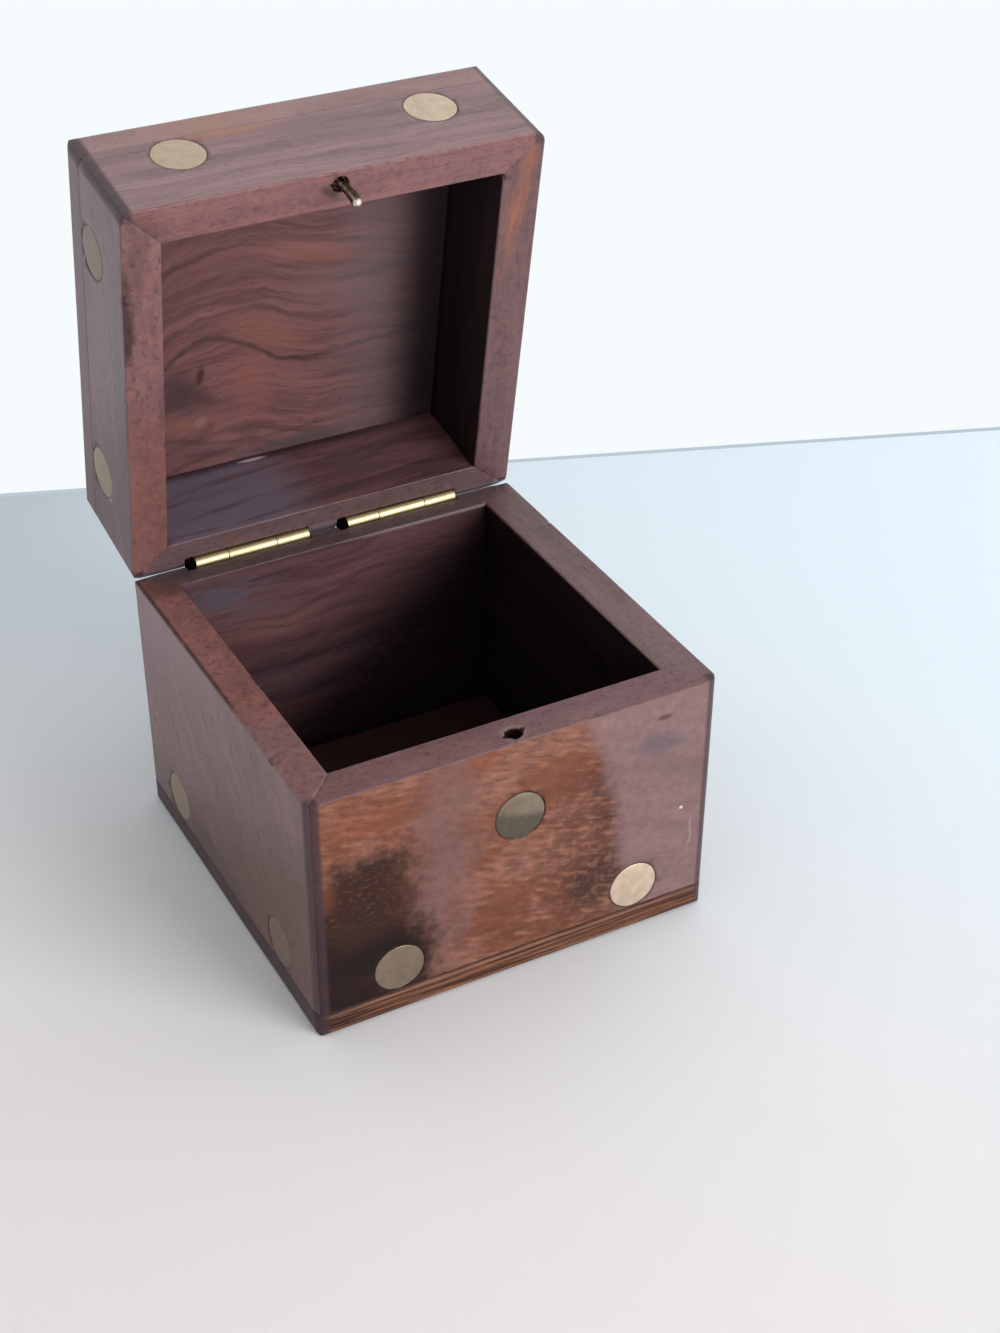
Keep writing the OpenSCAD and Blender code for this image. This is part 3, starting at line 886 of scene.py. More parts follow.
def left_wall_marks(g, colour, x, y, z, rim, inside, wobble):
    skin = g.ease(x, -37.2, -37.6) * (1.0 - rim)
    warm = g.ease(z + y * 0.42 + (wobble - 0.5) * 16.0, 33.0, 11.0)
    colour = g.mix(colour, (0.104, 0.046, 0.031), skin * warm * 0.85)
    low_back = patch(g, y, z, wobble, (8.0, 6.5), (13.0, 4.0), 0, 0.6, 1.4)
    colour = g.mix(colour, (0.060, 0.026, 0.020), skin * low_back * 0.55)
    streak = g.noise(g.vector((z * 0.63 - y * 0.78) * 0.6, (y * 0.63 + z * 0.78) * 0.07 + 5.0, 2.0), 3.0, 0.6)
    colour = g.mix(colour, (0.070, 0.036, 0.034), skin * g.ease(streak, 0.55, 0.66) * 0.40)
    colour = g.mix(colour, (0.270, 0.180, 0.185), skin * g.ease(streak, 0.42, 0.34) * 0.14)
    # The paler mauve towards the top and back is a painted reflection of the bright room.
    top_reflection = g.ease(z + y * 0.35 + (wobble - 0.5) * 8.0, 38.0, 56.0)
    colour = g.mix(colour, (0.270, 0.178, 0.188), skin * top_reflection * 0.7)
    front_part = g.ease(y + (wobble - 0.5) * 1.5, -13.4, -14.4)
    colour = g.mix(colour, (0.180, 0.098, 0.102), rim * front_part * 0.75)
    flecks = g.noise(g.vector(x * 0.7, y * 0.7, 9.0), 3.0, 0.65)
    colour = g.mix(colour, (0.270, 0.135, 0.125), rim * front_part * g.ease(flecks, 0.50, 0.64) * 0.45)
    colour = g.mix(colour, (0.075, 0.036, 0.038), rim * front_part * g.ease(flecks, 0.45, 0.34) * 0.55)
    colour = g.mix(colour, GLUE_LINE, rim * thin_line(g, y, -13.9, 0.3) * 0.35)
    colour = g.mix(colour, FILLER, rim * thin_line(g, x - y, 0.0, 0.3) * g.ease(y, 0, -1) * 0.4)
    outer_edge = g.ease(x, -37.0, -37.6) * g.ease(y + (wobble - 0.5) * 9.0, -12, -4) * rim
    colour = g.mix(colour, BLACK, outer_edge * 0.7)
    back_corner = patch(g, x, y, wobble, (-33.5, 33), (4.5, 3.5), 0, 0.5, 1.2) * rim
    return g.mix(colour, (0.075, 0.034, 0.028), back_corner * 0.7)


# The lilac band on the bevels where lid and body meet behind the hinges is a painted reflection of the bright wall
# behind.
def seam_reflection(g, colour, x, y, z, between=BEVEL_Y):
    start = g.ease(abs(x + 1.0), 9.0, 6.0) * (between - BEVEL_Y) + BEVEL_Y
    bevel = g.ease(y - start, -0.15, 0.15) * g.ease(abs(z - SEAM_Z), 1.25, 0.95)
    return g.mix(colour, SEAM_LILAC_REFLECTION, bevel * 0.85)


def back_wall_marks(g, colour, x, y, z, rim, inside, wobble):
    # The inside face is painted black towards the lower right: a painted shadow cast by the box's right and front
    # walls.
    painted_cast_shadow = g.ease(x - (z - 49.0) * 1.1 + (wobble - 0.5) * 6.0, 8.0, 42.0)
    colour = g.mix(colour, (0.006, 0.003, 0.005), inside * painted_cast_shadow * 0.92)
    streak = g.noise(g.vector(x * 0.10, (z - x * 0.1) * 0.8, 3.0), 3.0, 0.6)
    cool = patch(g, x, z, wobble, (-23, 43.5), (9, 4.5), 0, 0.7, 1.4) * g.ease(streak, 0.38, 0.56)
    colour = g.mix(colour, GREY_BLUE, inside * cool * 0.75)
    smoke = patch(g, x, z, wobble, (-12, 22), (16, 5), 8, 0.6, 1.0) * g.ease(streak, 0.36, 0.60)
    colour = g.mix(colour, (0.085, 0.062, 0.078), inside * smoke * (1.0 - painted_cast_shadow) * 0.6)
    # A lighter line just under the inner rim edge is a painted highlight.
    edge = thin_line(g, z, BODY_H - 0.3, 0.45) * g.ease(x, -2.0, 12.0) * g.ease(y, 32.2, 31.6)
    colour = g.mix(colour, (0.26, 0.19, 0.20), edge * 0.6)
    return seam_reflection(g, colour, x, y, z)


body_left = plain_board(
    "left_board", "body", "yzx", tones((0.218, 0.121, 0.123), 0.78, 1.14), (0.215, 0.098, 0.088), INNER_RED,
    {"turn": 51, "wave": 14.0, "pitch": 0.17, "run": 0.03, "seed": 11.0},
    [], LOW_PIPS, left_wall_marks,
    rough=0.36, line_share=0.12, fibre_share=0.2)
body_right = plain_board(
    "right_board", "body", "yzx", HIDDEN_FACE, (0.165, 0.095, 0.095), INNER_SHADE,
    {"wave": 8.0, "seed": 21.0}, [], [(-PIP_X, LOW_PIP_Z), (0, CENTRE_PIP_Z)], rim_spots=0.25)
body_back = plain_board(
    "back_board", "body", "xzy", HIDDEN_FACE, (0.100, 0.064, 0.068), INNER_RED,
    {"wave": 9.0, "seed": 31.0}, [], [(PIP_X, LOW_PIP_Z)],
    back_wall_marks, rim_spots=0.3)
print("body boards", [m.name for m in (body_left, body_right, body_back)])

# %% [markdown]
# The base panel shows its edge as a stripe round the foot. Its grain runs from side to side, so the
# front has light streaks and the left and right ends are dark end grain.

# %% Base panel and the lid's boards
def base_marks(g, colour, x, y, z, rim, inside, wobble):
    front = g.ease(y, -37.0, -37.6)
    streak = g.noise(g.vector(x * 0.05, z * 1.5, 4.0), 4.0, 0.70)
    stops = [(0.36, (0.022, 0.008, 0.006)), (0.48, (0.100, 0.038, 0.022)), (0.60, (0.225, 0.098, 0.054))]
    colour = g.mix(colour, g.ramp(streak, stops), front * g.ease(abs(x), 36.8, 36.2))
    dark_end = g.ease(x + (wobble - 0.5) * 8.0, -22.0, -34.0) * g.ease(abs(streak - 0.56), 0.02, 0.09)
    colour = g.mix(colour, (0.018, 0.008, 0.006), front * dark_end * 0.75)
    pale_line = thin_line(g, z, 4.1, 0.35) * front
    colour = g.mix(colour, (0.25, 0.145, 0.10), pale_line * 0.5)
    ends = g.ease(abs(x), 37.0, 37.6)
    colour = g.mix(colour, (0.052, 0.028, 0.030), ends * 0.92)
    # The inside floor is painted dark towards the right and back: painted shade.
    deep = inside * g.ease(x + y * 0.3 + (wobble - 0.5) * 6.0, -20.0, 6.0)
    colour = g.mix(colour, BLACK, deep * 0.72)
    # This mask gives the dark glue line at the top of the stripe and also darkens the whole inside floor, as
    # painted shade.
    glue = g.ease(z, BASE_T - 0.35, BASE_T - 0.1)
    return g.mix(colour, DARK, glue * 0.75)


base_look = plain_board(
    "base_board", "body", "xyz", HIDDEN_FACE, (0.15, 0.062, 0.070),
    dark_mid_light((0.06, 0.026, 0.030), (0.155, 0.062, 0.070), (0.20, 0.085, 0.088)),
    {"wave": 10.0, "seed": 41.0}, extra=base_marks, sheen=0.18)


def lid_glue(g, colour, z, inside):
    glue = g.ease(z, LID_WALL_TOP - 0.3, LID_WALL_TOP) * (1.0 - inside)
    return g.mix(colour, DARK, glue * 0.45)


def lid_left_marks(g, colour, x, y, z, rim, inside, wobble):
    lower = g.ease(y + (wobble - 0.5) * 14.0, -2.0, 12.0)
    colour = g.mix(colour, (0.230, 0.092, 0.072), rim * lower * 0.40)
    spots = patch(g, y, x, wobble, (-30, -35.5), (8, 2.0), 0, 0.6, 2.2)
    colour = g.mix(colour, DARK, rim * spots * 0.35)
    dark_side = patch(g, y, x, wobble, (-17, -37.4), (6.5, 1.2), 0, 0.5, 1.8)
    return lid_glue(g, g.mix(colour, DARK, rim * dark_side * 0.75), z, inside)


def lid_right_marks(g, colour, x, y, z, rim, inside, wobble):
    orange = patch(g, y, x, wobble, (-25.5, 34.0), (11.0, 1.5), -8, 0.7, 2.0)
    stripes = 0.45 + g.ease(g.noise(g.vector(y * 0.12, x * 1.4 + y * 0.2, 6.0), 3.0, 0.6), 0.42, 0.62) * 0.55
    colour = g.mix(colour, (0.31, 0.105, 0.060), rim * orange * stripes * 0.9)
    return lid_glue(g, colour, z, inside)


def lid_front_marks(g, colour, x, y, z, rim, inside, wobble):
    dark_corner = patch(g, x, y, wobble, (-34.5, -34.5), (3.0, 3.0), 0, 0.6, 1.6)
    colour = g.mix(colour, DARK, rim * dark_corner * 0.35)
    # The dark mark beside the catch pin's root is a painted shadow of the pin.
    pin_shadow = patch(g, x, y, wobble, (-2.1, -34.5), (1.5, 0.75), 35, 0.7, 0.8)
    colour = g.mix(colour, (0.060, 0.028, 0.030), rim * pin_shadow * 0.7)
    # The torn hole is painted black: painted shade in the hole and its sunken lip.
    return g.mix(colour, BLACK, torn_hole_shade(g) * 0.9)


def lid_back_marks(g, colour, x, y, z, rim, inside, wobble):
    colour = seam_reflection(g, colour, x, y, z, 35.5)
    left = g.ease(x + (wobble - 0.5) * 10.0, 3.0, -9.0)
    colour = g.mix(colour, (0.140, 0.118, 0.155), inside * left * 0.75)
    streak = g.noise(g.vector(x * 0.05, (z - x * 0.06) * 0.45, 8.0), 3.0, 0.55)
    colour = g.mix(colour, (0.070, 0.040, 0.048), inside * g.ease(streak, 0.49, 0.36) * 0.6)
    colour = g.mix(colour, (0.205, 0.088, 0.080), inside * (1.0 - left) * g.ease(streak, 0.50, 0.66) * 0.4)
    filler = patch(g, x, z, wobble, (-7.6, 66.75), (2.7, 0.42), -1, 0.3, 0.9)
    return g.mix(colour, (0.80, 0.72, 0.80), inside * filler * 0.85)


lid_front = plain_board(
    "lid_front_board", "lid", "xzy", tones((0.262, 0.160, 0.165), 0.72, 1.2), (0.210, 0.098, 0.100),
    INNER_RED, {"wave": 5.0, "pitch": 0.30, "run": 0.016, "seed": 51.0},
    [((-13, 67.5), (8, 2.2), 0, (0.360, 0.165, 0.100), 0.65)],
    HIGH_PIPS, lid_front_marks, line_share=0.2, fibre_share=0.25, rim_spots=0.25)
lid_left = plain_board(
    "lid_left_board", "lid", "yzx", tones((0.155, 0.080, 0.094), 0.72, 1.2), (0.205, 0.106, 0.108),
    INNER_RED, {"turn": -8, "wave": 12.0, "pitch": 0.15, "seed": 61.0},
    [], HIGH_PIPS, lid_left_marks,
    rough=0.36, line_share=0.2, fibre_share=0.2, rim_spots=0.36)
lid_right = plain_board(
    "lid_right_board", "lid", "yzx", HIDDEN_FACE, (0.150, 0.080, 0.083), INNER_SHADE,
    {"wave": 8.0, "seed": 71.0}, [], [(PIP_X, HIGH_PIP_Z)], lid_right_marks, rim_spots=0.3)
lid_back = plain_board(
    "lid_back_board", "lid", "xzy", HIDDEN_FACE, (0.135, 0.080, 0.085), INNER_RED,
    {"wave": 9.0, "seed": 81.0}, [], [(-PIP_X, HIGH_PIP_Z)], lid_back_marks, rim_spots=0.3)

# %% [markdown]
# The inside of the lid's top panel has the liveliest figure of all: soft dark lines that rise over two
# knots near the left and level out to the right, with an orange glow between them. Five growth lines
# are drawn as curves, each with its points, half its width and its strength. The fine fibre follows
# the same curve, as it does round a real knot.

# %% Top panel
SPAN_LOW, SPAN = -40.0, 80.0
GROWTH_LINES = (
    ([(-24, 7.3), (-21, 4.8), (-17, 3.2), (-14, 3.4), (-8, 6.2), (-1, 10.8), (7, 11.9), (16, 11.0)],
     0.62, 0.80),
    ([(-28, 4.0), (-21, 0.0), (-13, -1.7), (-6, -1.8), (-0.4, 1.2), (6, 3.7), (12, 3.9), (24, 5.5)],
     0.55, 0.50),
    ([(-28, -11.0), (-18, -14.4), (-8, -16.1), (4, -13.2), (15, -10.9), (28, -9.0)], 0.70, 0.50),
    ([(-28, -6.0), (-12, -9.8), (-3.6, -9.5), (10, -7.2), (26, -4.8)], 0.60, 0.35),
    ([(-28, 22.6), (-20, 24.8), (-15, 26.2), (-6, 27.5), (10, 27.0)], 0.60, 0.50),
)
PANEL_PATCHES = (
    ((4.0, -11.0), (9.5, 1.9), 14, (0.245, 0.100, 0.078), 0.60),
    ((-7.0, 15.0), (3.8, 7.5), 0, (0.235, 0.088, 0.074), 0.55),
    ((-4.5, 4.5), (8.0, 3.0), 32, (0.235, 0.098, 0.068), 0.55),
    ((-22.0, 20.6), (4.0, 1.8), 10, (0.225, 0.095, 0.065), 0.55),
    ((-13.0, 26.0), (3.0, 1.2), 0, (0.260, 0.105, 0.095), 0.50),
    ((-21.5, 13.5), (4.2, 4.0), 20, (0.055, 0.034, 0.040), 0.85),
    ((-16.5, 15.8), (2.6, 1.2), 20, (0.075, 0.035, 0.036), 0.70),
    ((-17.3, 10.6), (0.8, 1.7), 10, (0.045, 0.012, 0.014), 0.80),
    ((-17.3, 21.0), (1.0, 1.2), 0, (0.300, 0.190, 0.160), 0.45),
    ((-15.8, 22.6), (1.6, 1.0), -30, (0.060, 0.028, 0.030), 0.70),
    ((-6.9, 25.2), (2.6, 1.4), 0, (0.085, 0.045, 0.045), 0.55),
    ((9.0, -2.0), (9.0, 4.5), 8, (0.185, 0.108, 0.112), 0.45),
    ((14.0, -19.5), (9.0, 0.9), 3, (0.055, 0.036, 0.040), 0.70),
    ((17.0, -4.0), (7.0, 0.8), -2, (0.060, 0.040, 0.044), 0.55),
    ((15.0, 17.0), (8.0, 0.8), 3, (0.065, 0.042, 0.046), 0.50),
    ((-10.0, -3.5), (5.0, 0.7), 6, (0.075, 0.042, 0.044), 0.50),
    ((4.0, 30.2), (11.5, 1.5), 0, (0.075, 0.058, 0.060), 0.75),
    ((-16.0, 28.6), (5.0, 0.8), 8, (0.070, 0.036, 0.038), 0.60),
    ((-14.5, 22.0), (3.0, 2.4), 0, (0.250, 0.090, 0.085), 0.40),
)


def growth_curve(g, x, points):
    node = g.tree.nodes.new("ShaderNodeFloatCurve")
    curve = node.mapping.curves[0]
    places = [[(end - SPAN_LOW) / SPAN for end in point] for point in points]
    curve.points[0].location = (0.0, places[0][1])
    curve.points[1].location = (1.0, places[-1][1])
    for place in places:
        curve.points.new(*place)
    node.mapping.update()
    g.tree.links.new(((x - SPAN_LOW) / SPAN).socket, node.inputs["Value"])
    return Val(g, node.outputs["Value"]) * SPAN + SPAN_LOW


def top_board():
    g = Finish("top_board")
    place, x, y, z = shut_place(g, "lid")
    wobble = g.noise(g.vector(x * 0.13, y * 0.26, z * 0.26), 4.0, 0.65)
    shiver = g.noise(g.vector(x * 0.25, y * 0.4, 2.0), 3.0, 0.6)
    curves = [growth_curve(g, x, points) for points, width, share in GROWTH_LINES]
    level = y - curves[1] * 0.75 + (shiver - 0.5) * 2.2
    bands = g.noise(g.vector(x * 0.02, level * 0.24, z * 0.12), 4.0, 0.6)
    fibre = g.noise(g.vector(x * 0.20, level * 2.6, z * 3.0), 4.0, 0.65)
    pores = g.ease(g.noise(g.vector(x * 0.30, level * 3.4, z * 3.0), 1.0), 0.63, 0.75)
    line_base = g.noise(g.vector(x * 0.02 + 7.0, level * 0.5, z * 0.12), 2.0, 0.5)
    lines = 1.0 - g.ease(abs(line_base - 0.5), 0.01, 0.07)
    figure = (bands, lines, fibre, pores)
    inner = dark_mid_light((0.125, 0.058, 0.063), (0.182, 0.081, 0.084), (0.220, 0.098, 0.094))
    straight = wood_figure(g, x, y, z, wave=6.0, pitch=0.13, run=0.012, seed=91.0)
    outer = tones((0.185, 0.100, 0.095), 0.65, 1.25)
    outside = g.ease(z, LID_WALL_TOP + 0.5, LID_WALL_TOP + 1.5)
    outside = g.high(outside, g.high(g.ease(abs(x), 37.0, 37.5), g.ease(abs(y), 37.0, 37.5)))
    colour = grain_colour(g, figure, inner, 0.28, 0.42, 0.38)
    for centre, size, turn_deg, tone, share in PANEL_PATCHES:
        colour = g.mix(colour, tone, patch(g, x, y, wobble, centre, size, turn_deg, 0.6, 1.1) * share)
    for curve, (points, width, share) in zip(curves, GROWTH_LINES):
        off = y - curve + (shiver - 0.5) * 1.6
        line = g.ease(abs(off), width * 1.5, width * 0.2) * (share * 0.6 + (shiver - 0.3) * share)
        colour = g.mix(colour, (0.048, 0.030, 0.028), line)
    # Towards the right a grey-mauve band is a painted reflection.
    colour = g.mix(colour, (0.150, 0.105, 0.112), g.ease(x + (wobble - 0.5) * 8.0, 6.0, 16.0) * 0.55)
    # Past it the panel is painted near black: the painted shadow of the lid's right wall.
    colour = g.mix(colour, (0.020, 0.014, 0.018), g.ease(x + (wobble - 0.5) * 3.0, 18.0, 27.0) * 0.84)
    colour = g.mix(colour, grain_colour(g, straight, outer, 0.35, 0.3), outside)
    front_edge = g.ease(y, -37.0, -37.4)
    edge_colour = grain_colour(g, figure, tones((0.275, 0.165, 0.165), 0.8, 1.15), 0.0, 0.2)
    colour = g.mix(colour, edge_colour, front_edge)
    ends = g.ease(abs(x), 37.0, 37.6)
    colour = g.mix(colour, (0.155, 0.085, 0.098), ends * 0.8)
    orange = patch(g, x, z, wobble, (-14, 70.5), (9, 2.6), 0, 0.6, 1.0) * front_edge
    colour = g.mix(colour, (0.340, 0.180, 0.125), orange * 0.6)
    grime = pip_grime(g, x, y, [(sx * PIP_X, py) for sx in (-1, 1) for py in (-PIP_X, 0, PIP_X)])
    colour = g.mix(colour, DARK, grime * g.ease(z, SHUT_H - 1.6, SHUT_H - 1.4) * 0.7)
    glue = g.ease(z, LID_WALL_TOP + 0.3, LID_WALL_TOP + 0.05) * outside * (1.0 - front_edge * 0.8)
    colour = g.mix(colour, DARK, glue * 0.45)
    colour = g.mix(colour, UPRIGHT_EDGE, upright_edges(g, x, y) * 0.8)
    lines, fibre, pores = [a * (1.0 - outside) + b * outside for a, b in zip(figure[1:], straight[1:])]
    return waxed(g, colour, lines, fibre, pores)


# %% Make the ten boards
looks = {
    "base_panel": base_look, "body_front_wall": front_board(), "body_left_wall": body_left,
    "body_right_wall": body_right, "body_back_wall": body_back, "lid_front_wall": lid_front,
    "lid_left_wall": lid_left, "lid_right_wall": lid_right, "lid_back_wall": lid_back,
    "lid_top_panel": top_board(),
}
for node, look in looks.items():
    make_board(node, look)

# %% [markdown]
# Brass. The pips were hammered in and sanded flush with the wood, so they are dull and full of fine scratches. The
# hinges and the pin are drawn metal, brighter, with brown tarnish where hands and cloths don't reach. The pale
# stripe along one side of the catch pin is a painted highlight.

# %% Brass finishes
PIP_STOPS = [(0.0, (0.235, 0.190, 0.142)), (0.12, (0.242, 0.170, 0.138)), (0.25, (0.245, 0.190, 0.140)),
             (0.6, (0.480, 0.365, 0.262)), (1.0, (0.680, 0.535, 0.402))]


def pip_brass(body):
    g = Finish("pip_brass_" + body)
    place, x, y, z = shut_place(g, body)
    cloud = g.noise(place, 4.0, 0.6, scale=0.45)
    scratch_a = g.noise(g.vector(x * 0.5 + y * 0.4, z * 7.0 + x * 2.0, y * 6.0), 2.0, 0.6)
    scratch_b = g.noise(g.vector(x * 6.0 + z, z * 0.6, y * 0.7 + z * 5.0), 2.0, 0.6)
    scratches = g.high(g.ease(scratch_a, 0.60, 0.72), g.ease(scratch_b, 0.62, 0.74))
    tone = g.node("ShaderNodeAttribute", {"attribute_name": "tone"}, out="Fac")
    colour = g.ramp(tone, PIP_STOPS)
    darker = g.ramp(cloud, [(0.3, (0.72, 0.72, 0.70)), (0.7, (1.2, 1.2, 1.18))])
    colour = g.mix(colour, darker, 0.6, "MULTIPLY")
    # The lower part of the front pips is painted dark: a painted reflection.
    if body == "body":
        line = z + x * 0.33 + (cloud - 0.5) * 2.5
        lower = g.ease(line, CENTRE_PIP_Z + 1.4, CENTRE_PIP_Z - 0.6) * g.ease(z, 27.0, 27.5)
        colour = g.mix(colour, (0.072, 0.068, 0.047), lower * g.ease(y, -37.0, -37.3) * 0.78)
    colour = g.mix(colour, (0.66, 0.58, 0.44), scratches * (0.08 + tone * 0.22))
    roughness = 0.46 + (cloud - 0.5) * 0.3 - scratches * 0.1
    return g.surface(colour, roughness, cloud * 0.4 - scratches * 0.25, 0.05, metallic=0.75)


HINGE_LIGHT, HINGE_DARK = (0.66, 0.55, 0.32), (0.34, 0.24, 0.12)
HINGE_STAIN = 0.35
HINGE_ROUGH = 0.44


def bright_brass(body):
    g = Finish("hinge_brass_" + body)
    place, x, y, z = shut_place(g, body)
    cloud = g.noise(place, 3.0, 0.55, scale=0.45)
    drawn = g.noise(g.vector(x * 0.3, y * 7.0, z * 7.0), 2.0, 0.6)
    colour = g.mix(HINGE_LIGHT, HINGE_DARK, g.ease(cloud, 0.50, 0.75) * HINGE_STAIN)
    roughness = HINGE_ROUGH + (cloud - 0.5) * 0.15 + (drawn - 0.5) * 0.08
    return g.surface(colour, roughness, drawn, 0.004, metallic=1.0)


HIGHLIGHT_WAY = math.radians(-128)


def catch_bronze():
    g = Finish("catch_bronze")
    place, x, y, z = shut_place(g, "lid")
    cloud = g.noise(place, 3.0, 0.6, scale=0.9)
    colour = g.ramp(cloud, [(0.35, (0.030, 0.019, 0.012)), (0.65, (0.110, 0.070, 0.042))])
    # A pale stripe along one side of the pin is a painted highlight.
    side = (y - LATCH_AT.y) * math.cos(HIGHLIGHT_WAY) - x * math.sin(HIGHLIGHT_WAY)
    front = x * math.cos(HIGHLIGHT_WAY) + (y - LATCH_AT.y) * math.sin(HIGHLIGHT_WAY)
    highlight_stripe = g.ease(abs(side + (cloud - 0.5) * 0.3), 0.40, 0.14) * g.ease(front, 0.0, 0.2)
    colour = g.mix(colour, (0.44, 0.36, 0.25), highlight_stripe * 0.85)
    worn = g.ease(z + (cloud - 0.5) * 0.6, 43.8, 43.2)
    colour = g.mix(colour, (0.76, 0.66, 0.58), worn)
    return g.surface(colour, 0.40, cloud, 0.05, metallic=1.0)


pip_finish = {body: pip_brass(body) for body in ("body", "lid")}
hinge_finish = {body: bright_brass(body) for body in ("body", "lid")}
pin_finish = catch_bronze()

# %% [markdown]
# The twenty pips and the eight brads are turned shapes that repeat. A small Geometry Nodes tree spins a
# profile into such a shape and puts one on each point of a seat mesh, turned to face the way the
# point says. Inputs are the profile, the number of sides and the finish.

# %% Geometry Nodes tree for turned pieces
SPIN_R = 1.0 * MM
SPIN_MERGE = 0.001 * MM


def add_node(tree, kind, settings=None, values=None):
    node = tree.nodes.new(kind)
    for key, value in (settings or {}).items():
        setattr(node, key, value)
    for key, value in (values or {}).items():
        if isinstance(value, bpy.types.NodeSocket):
            tree.links.new(value, node.inputs[key])
        else:
            node.inputs[key].default_value = value
    return node


def turned_tree():
    tree = bpy.data.node_groups.new("turned_pieces", "GeometryNodeTree")
    inputs = {"Seats": "Geometry", "Profile": "Object", "Sides": "Int", "Finish": "Material"}
    for name, kind in inputs.items():
        tree.interface.new_socket(name, in_out="INPUT", socket_type="NodeSocket" + kind)
    tree.interface.new_socket("Pieces", in_out="OUTPUT", socket_type="NodeSocketGeometry")
    given = add_node(tree, "NodeGroupInput").outputs
    profile = add_node(tree, "GeometryNodeObjectInfo", None, {"Object": given["Profile"]})
    line = add_node(tree, "GeometryNodeMeshToCurve", None, {"Mesh": profile.outputs["Geometry"]})
    ring = add_node(tree, "GeometryNodeCurvePrimitiveCircle", None,
                    {"Resolution": given["Sides"], "Radius": SPIN_R})
    spun = add_node(tree, "GeometryNodeCurveToMesh", None,
                    {"Curve": ring.outputs["Curve"], "Profile Curve": line.outputs["Curve"]})
    closed = add_node(tree, "GeometryNodeMergeByDistance", None,
                      {"Geometry": spun.outputs["Mesh"], "Distance": SPIN_MERGE})
    facing = add_node(tree, "GeometryNodeInputNamedAttribute", {"data_type": "FLOAT_VECTOR"},
                      {"Name": "facing"})
    aim = add_node(tree, "FunctionNodeAlignRotationToVector", {"axis": "Z"},
                   {"Vector": facing.outputs["Attribute"]})
    placed = add_node(tree, "GeometryNodeInstanceOnPoints", None,
                      {"Points": given["Seats"], "Instance": closed.outputs["Geometry"],
                       "Rotation": aim.outputs["Rotation"]})
    real = add_node(tree, "GeometryNodeRealizeInstances", None, {"Geometry": placed.outputs["Instances"]})
    done = add_node(tree, "GeometryNodeSetMaterial", None,
                    {"Geometry": real.outputs["Geometry"], "Material": given["Finish"]})
    add_node(tree, "NodeGroupOutput", None, {"Pieces": done.outputs["Geometry"]})
    return tree


turned = turned_tree()
print("tree", turned.name, len(turned.nodes), "nodes")

# %% Profiles, seats, and the call that runs the tree
MID_TONE = 0.5


def profile_object(name, points):
    mesh = bpy.data.meshes.new(name)
    steps = [(i, i + 1) for i in range(len(points) - 1)]
    mesh.from_pydata([(r * MM - SPIN_R, -h * MM, 0) for r, h in points], steps, [])
    return scene_object(name, mesh)


def rounded_end(radius, height, ease_r, steps=4):
    arc = [math.radians(90 * i / steps) for i in range(steps + 1)]
    return [(radius - ease_r + ease_r * math.sin(a), height - ease_r + ease_r * math.cos(a)) for a in arc]


def seat(body, spot, axis, sign, tone=MID_TONE):
    back = to_shut[body].inverted()
    way = Vector((0, 0, 0))
    way[axis] = sign
    return back @ spot, (back.to_3x3() @ way).normalized(), tone


def run_tree(name, seats, profile, sides, finish):
    mesh = bpy.data.meshes.new(name + "_seats")
    mesh.from_pydata([seat[0] for seat in seats], [], [])
    mesh.attributes.new("facing", "FLOAT_VECTOR", "POINT")
    mesh.attributes.new("tone", "FLOAT", "POINT")
    for i, (spot, way, tone) in enumerate(seats):
        mesh.attributes["facing"].data[i].vector = way
        mesh.attributes["tone"].data[i].value = tone
    holder = scene_object(name + "_seats", mesh)
    modifier = holder.modifiers.new("turned", "NODES")
    modifier.node_group = turned
    ids = {item.name: item.identifier for item in turned.interface.items_tree if item.in_out == "INPUT"}
    modifier[ids["Profile"]] = profile
    modifier[ids["Sides"]] = sides
    modifier[ids["Finish"]] = finish
    shapes = bpy.context.evaluated_depsgraph_get()
    made = bpy.data.meshes.new_from_object(holder.evaluated_get(shapes))
    holder.modifiers.remove(modifier)
    bpy.data.objects.remove(holder)
    made.name = name
    return made


# %% [markdown]
# A pip's face is very slightly domed and its rim is rounded, so it catches a fine bright line. Each
# pip lies where its recess is, and moves with the same slow unevenness as the wood round it.

# %% Pips
PIP_T = 1.5
PIP_SIDES = 64
PIP_EASE = 0.16
PIP_PROUD = 0.03
DOME = 0.05
# A pip's tone paints the reflection that pip shows; pips not listed keep the middle tone.
PIP_REFLECTION_TONES = {"front_pip_centre": 0.0, "front_pip_upper_right": 0.95, "front_pip_lower_right": 1.0,
             "front_pip_upper_left": 0.72, "front_pip_lower_left": 0.23, "left_pip_lower_back": 0.43,
             "left_pip_lower_front": 0.11, "left_pip_upper_front": 0.12, "left_pip_upper_back": 0.45}


def pip_profile():
    flat_r = PIP_R - PIP_EASE
    dome = [(flat_r * s, PIP_PROUD + DOME * (1 - s * s)) for s in (0.0, 0.25, 0.5, 0.75)]
    rim = rounded_end(PIP_R, PIP_PROUD, PIP_EASE)
    return dome + rim + [(PIP_R, -PIP_T), (0.0, -PIP_T)]


def pip_seats(body):
    names = [n for n in sorted(nodes) if "pip" in n.split("_") and body_of[n] == body]
    seats = []
    for node in names:
        spans = shut_spans(node)
        face = Vector([(a + b) / 2 for a, b in spans])
        thin = min(range(3), key=lambda i: spans[i][1] - spans[i][0])
        outwards = 1 if thin == 2 else math.copysign(1, face[thin])
        face[thin] = max(spans[thin]) if outwards > 0 else min(spans[thin])
        seats.append(seat(body, uneven(face), thin, outwards, PIP_REFLECTION_TONES.get(node, MID_TONE)))
    return seats, names


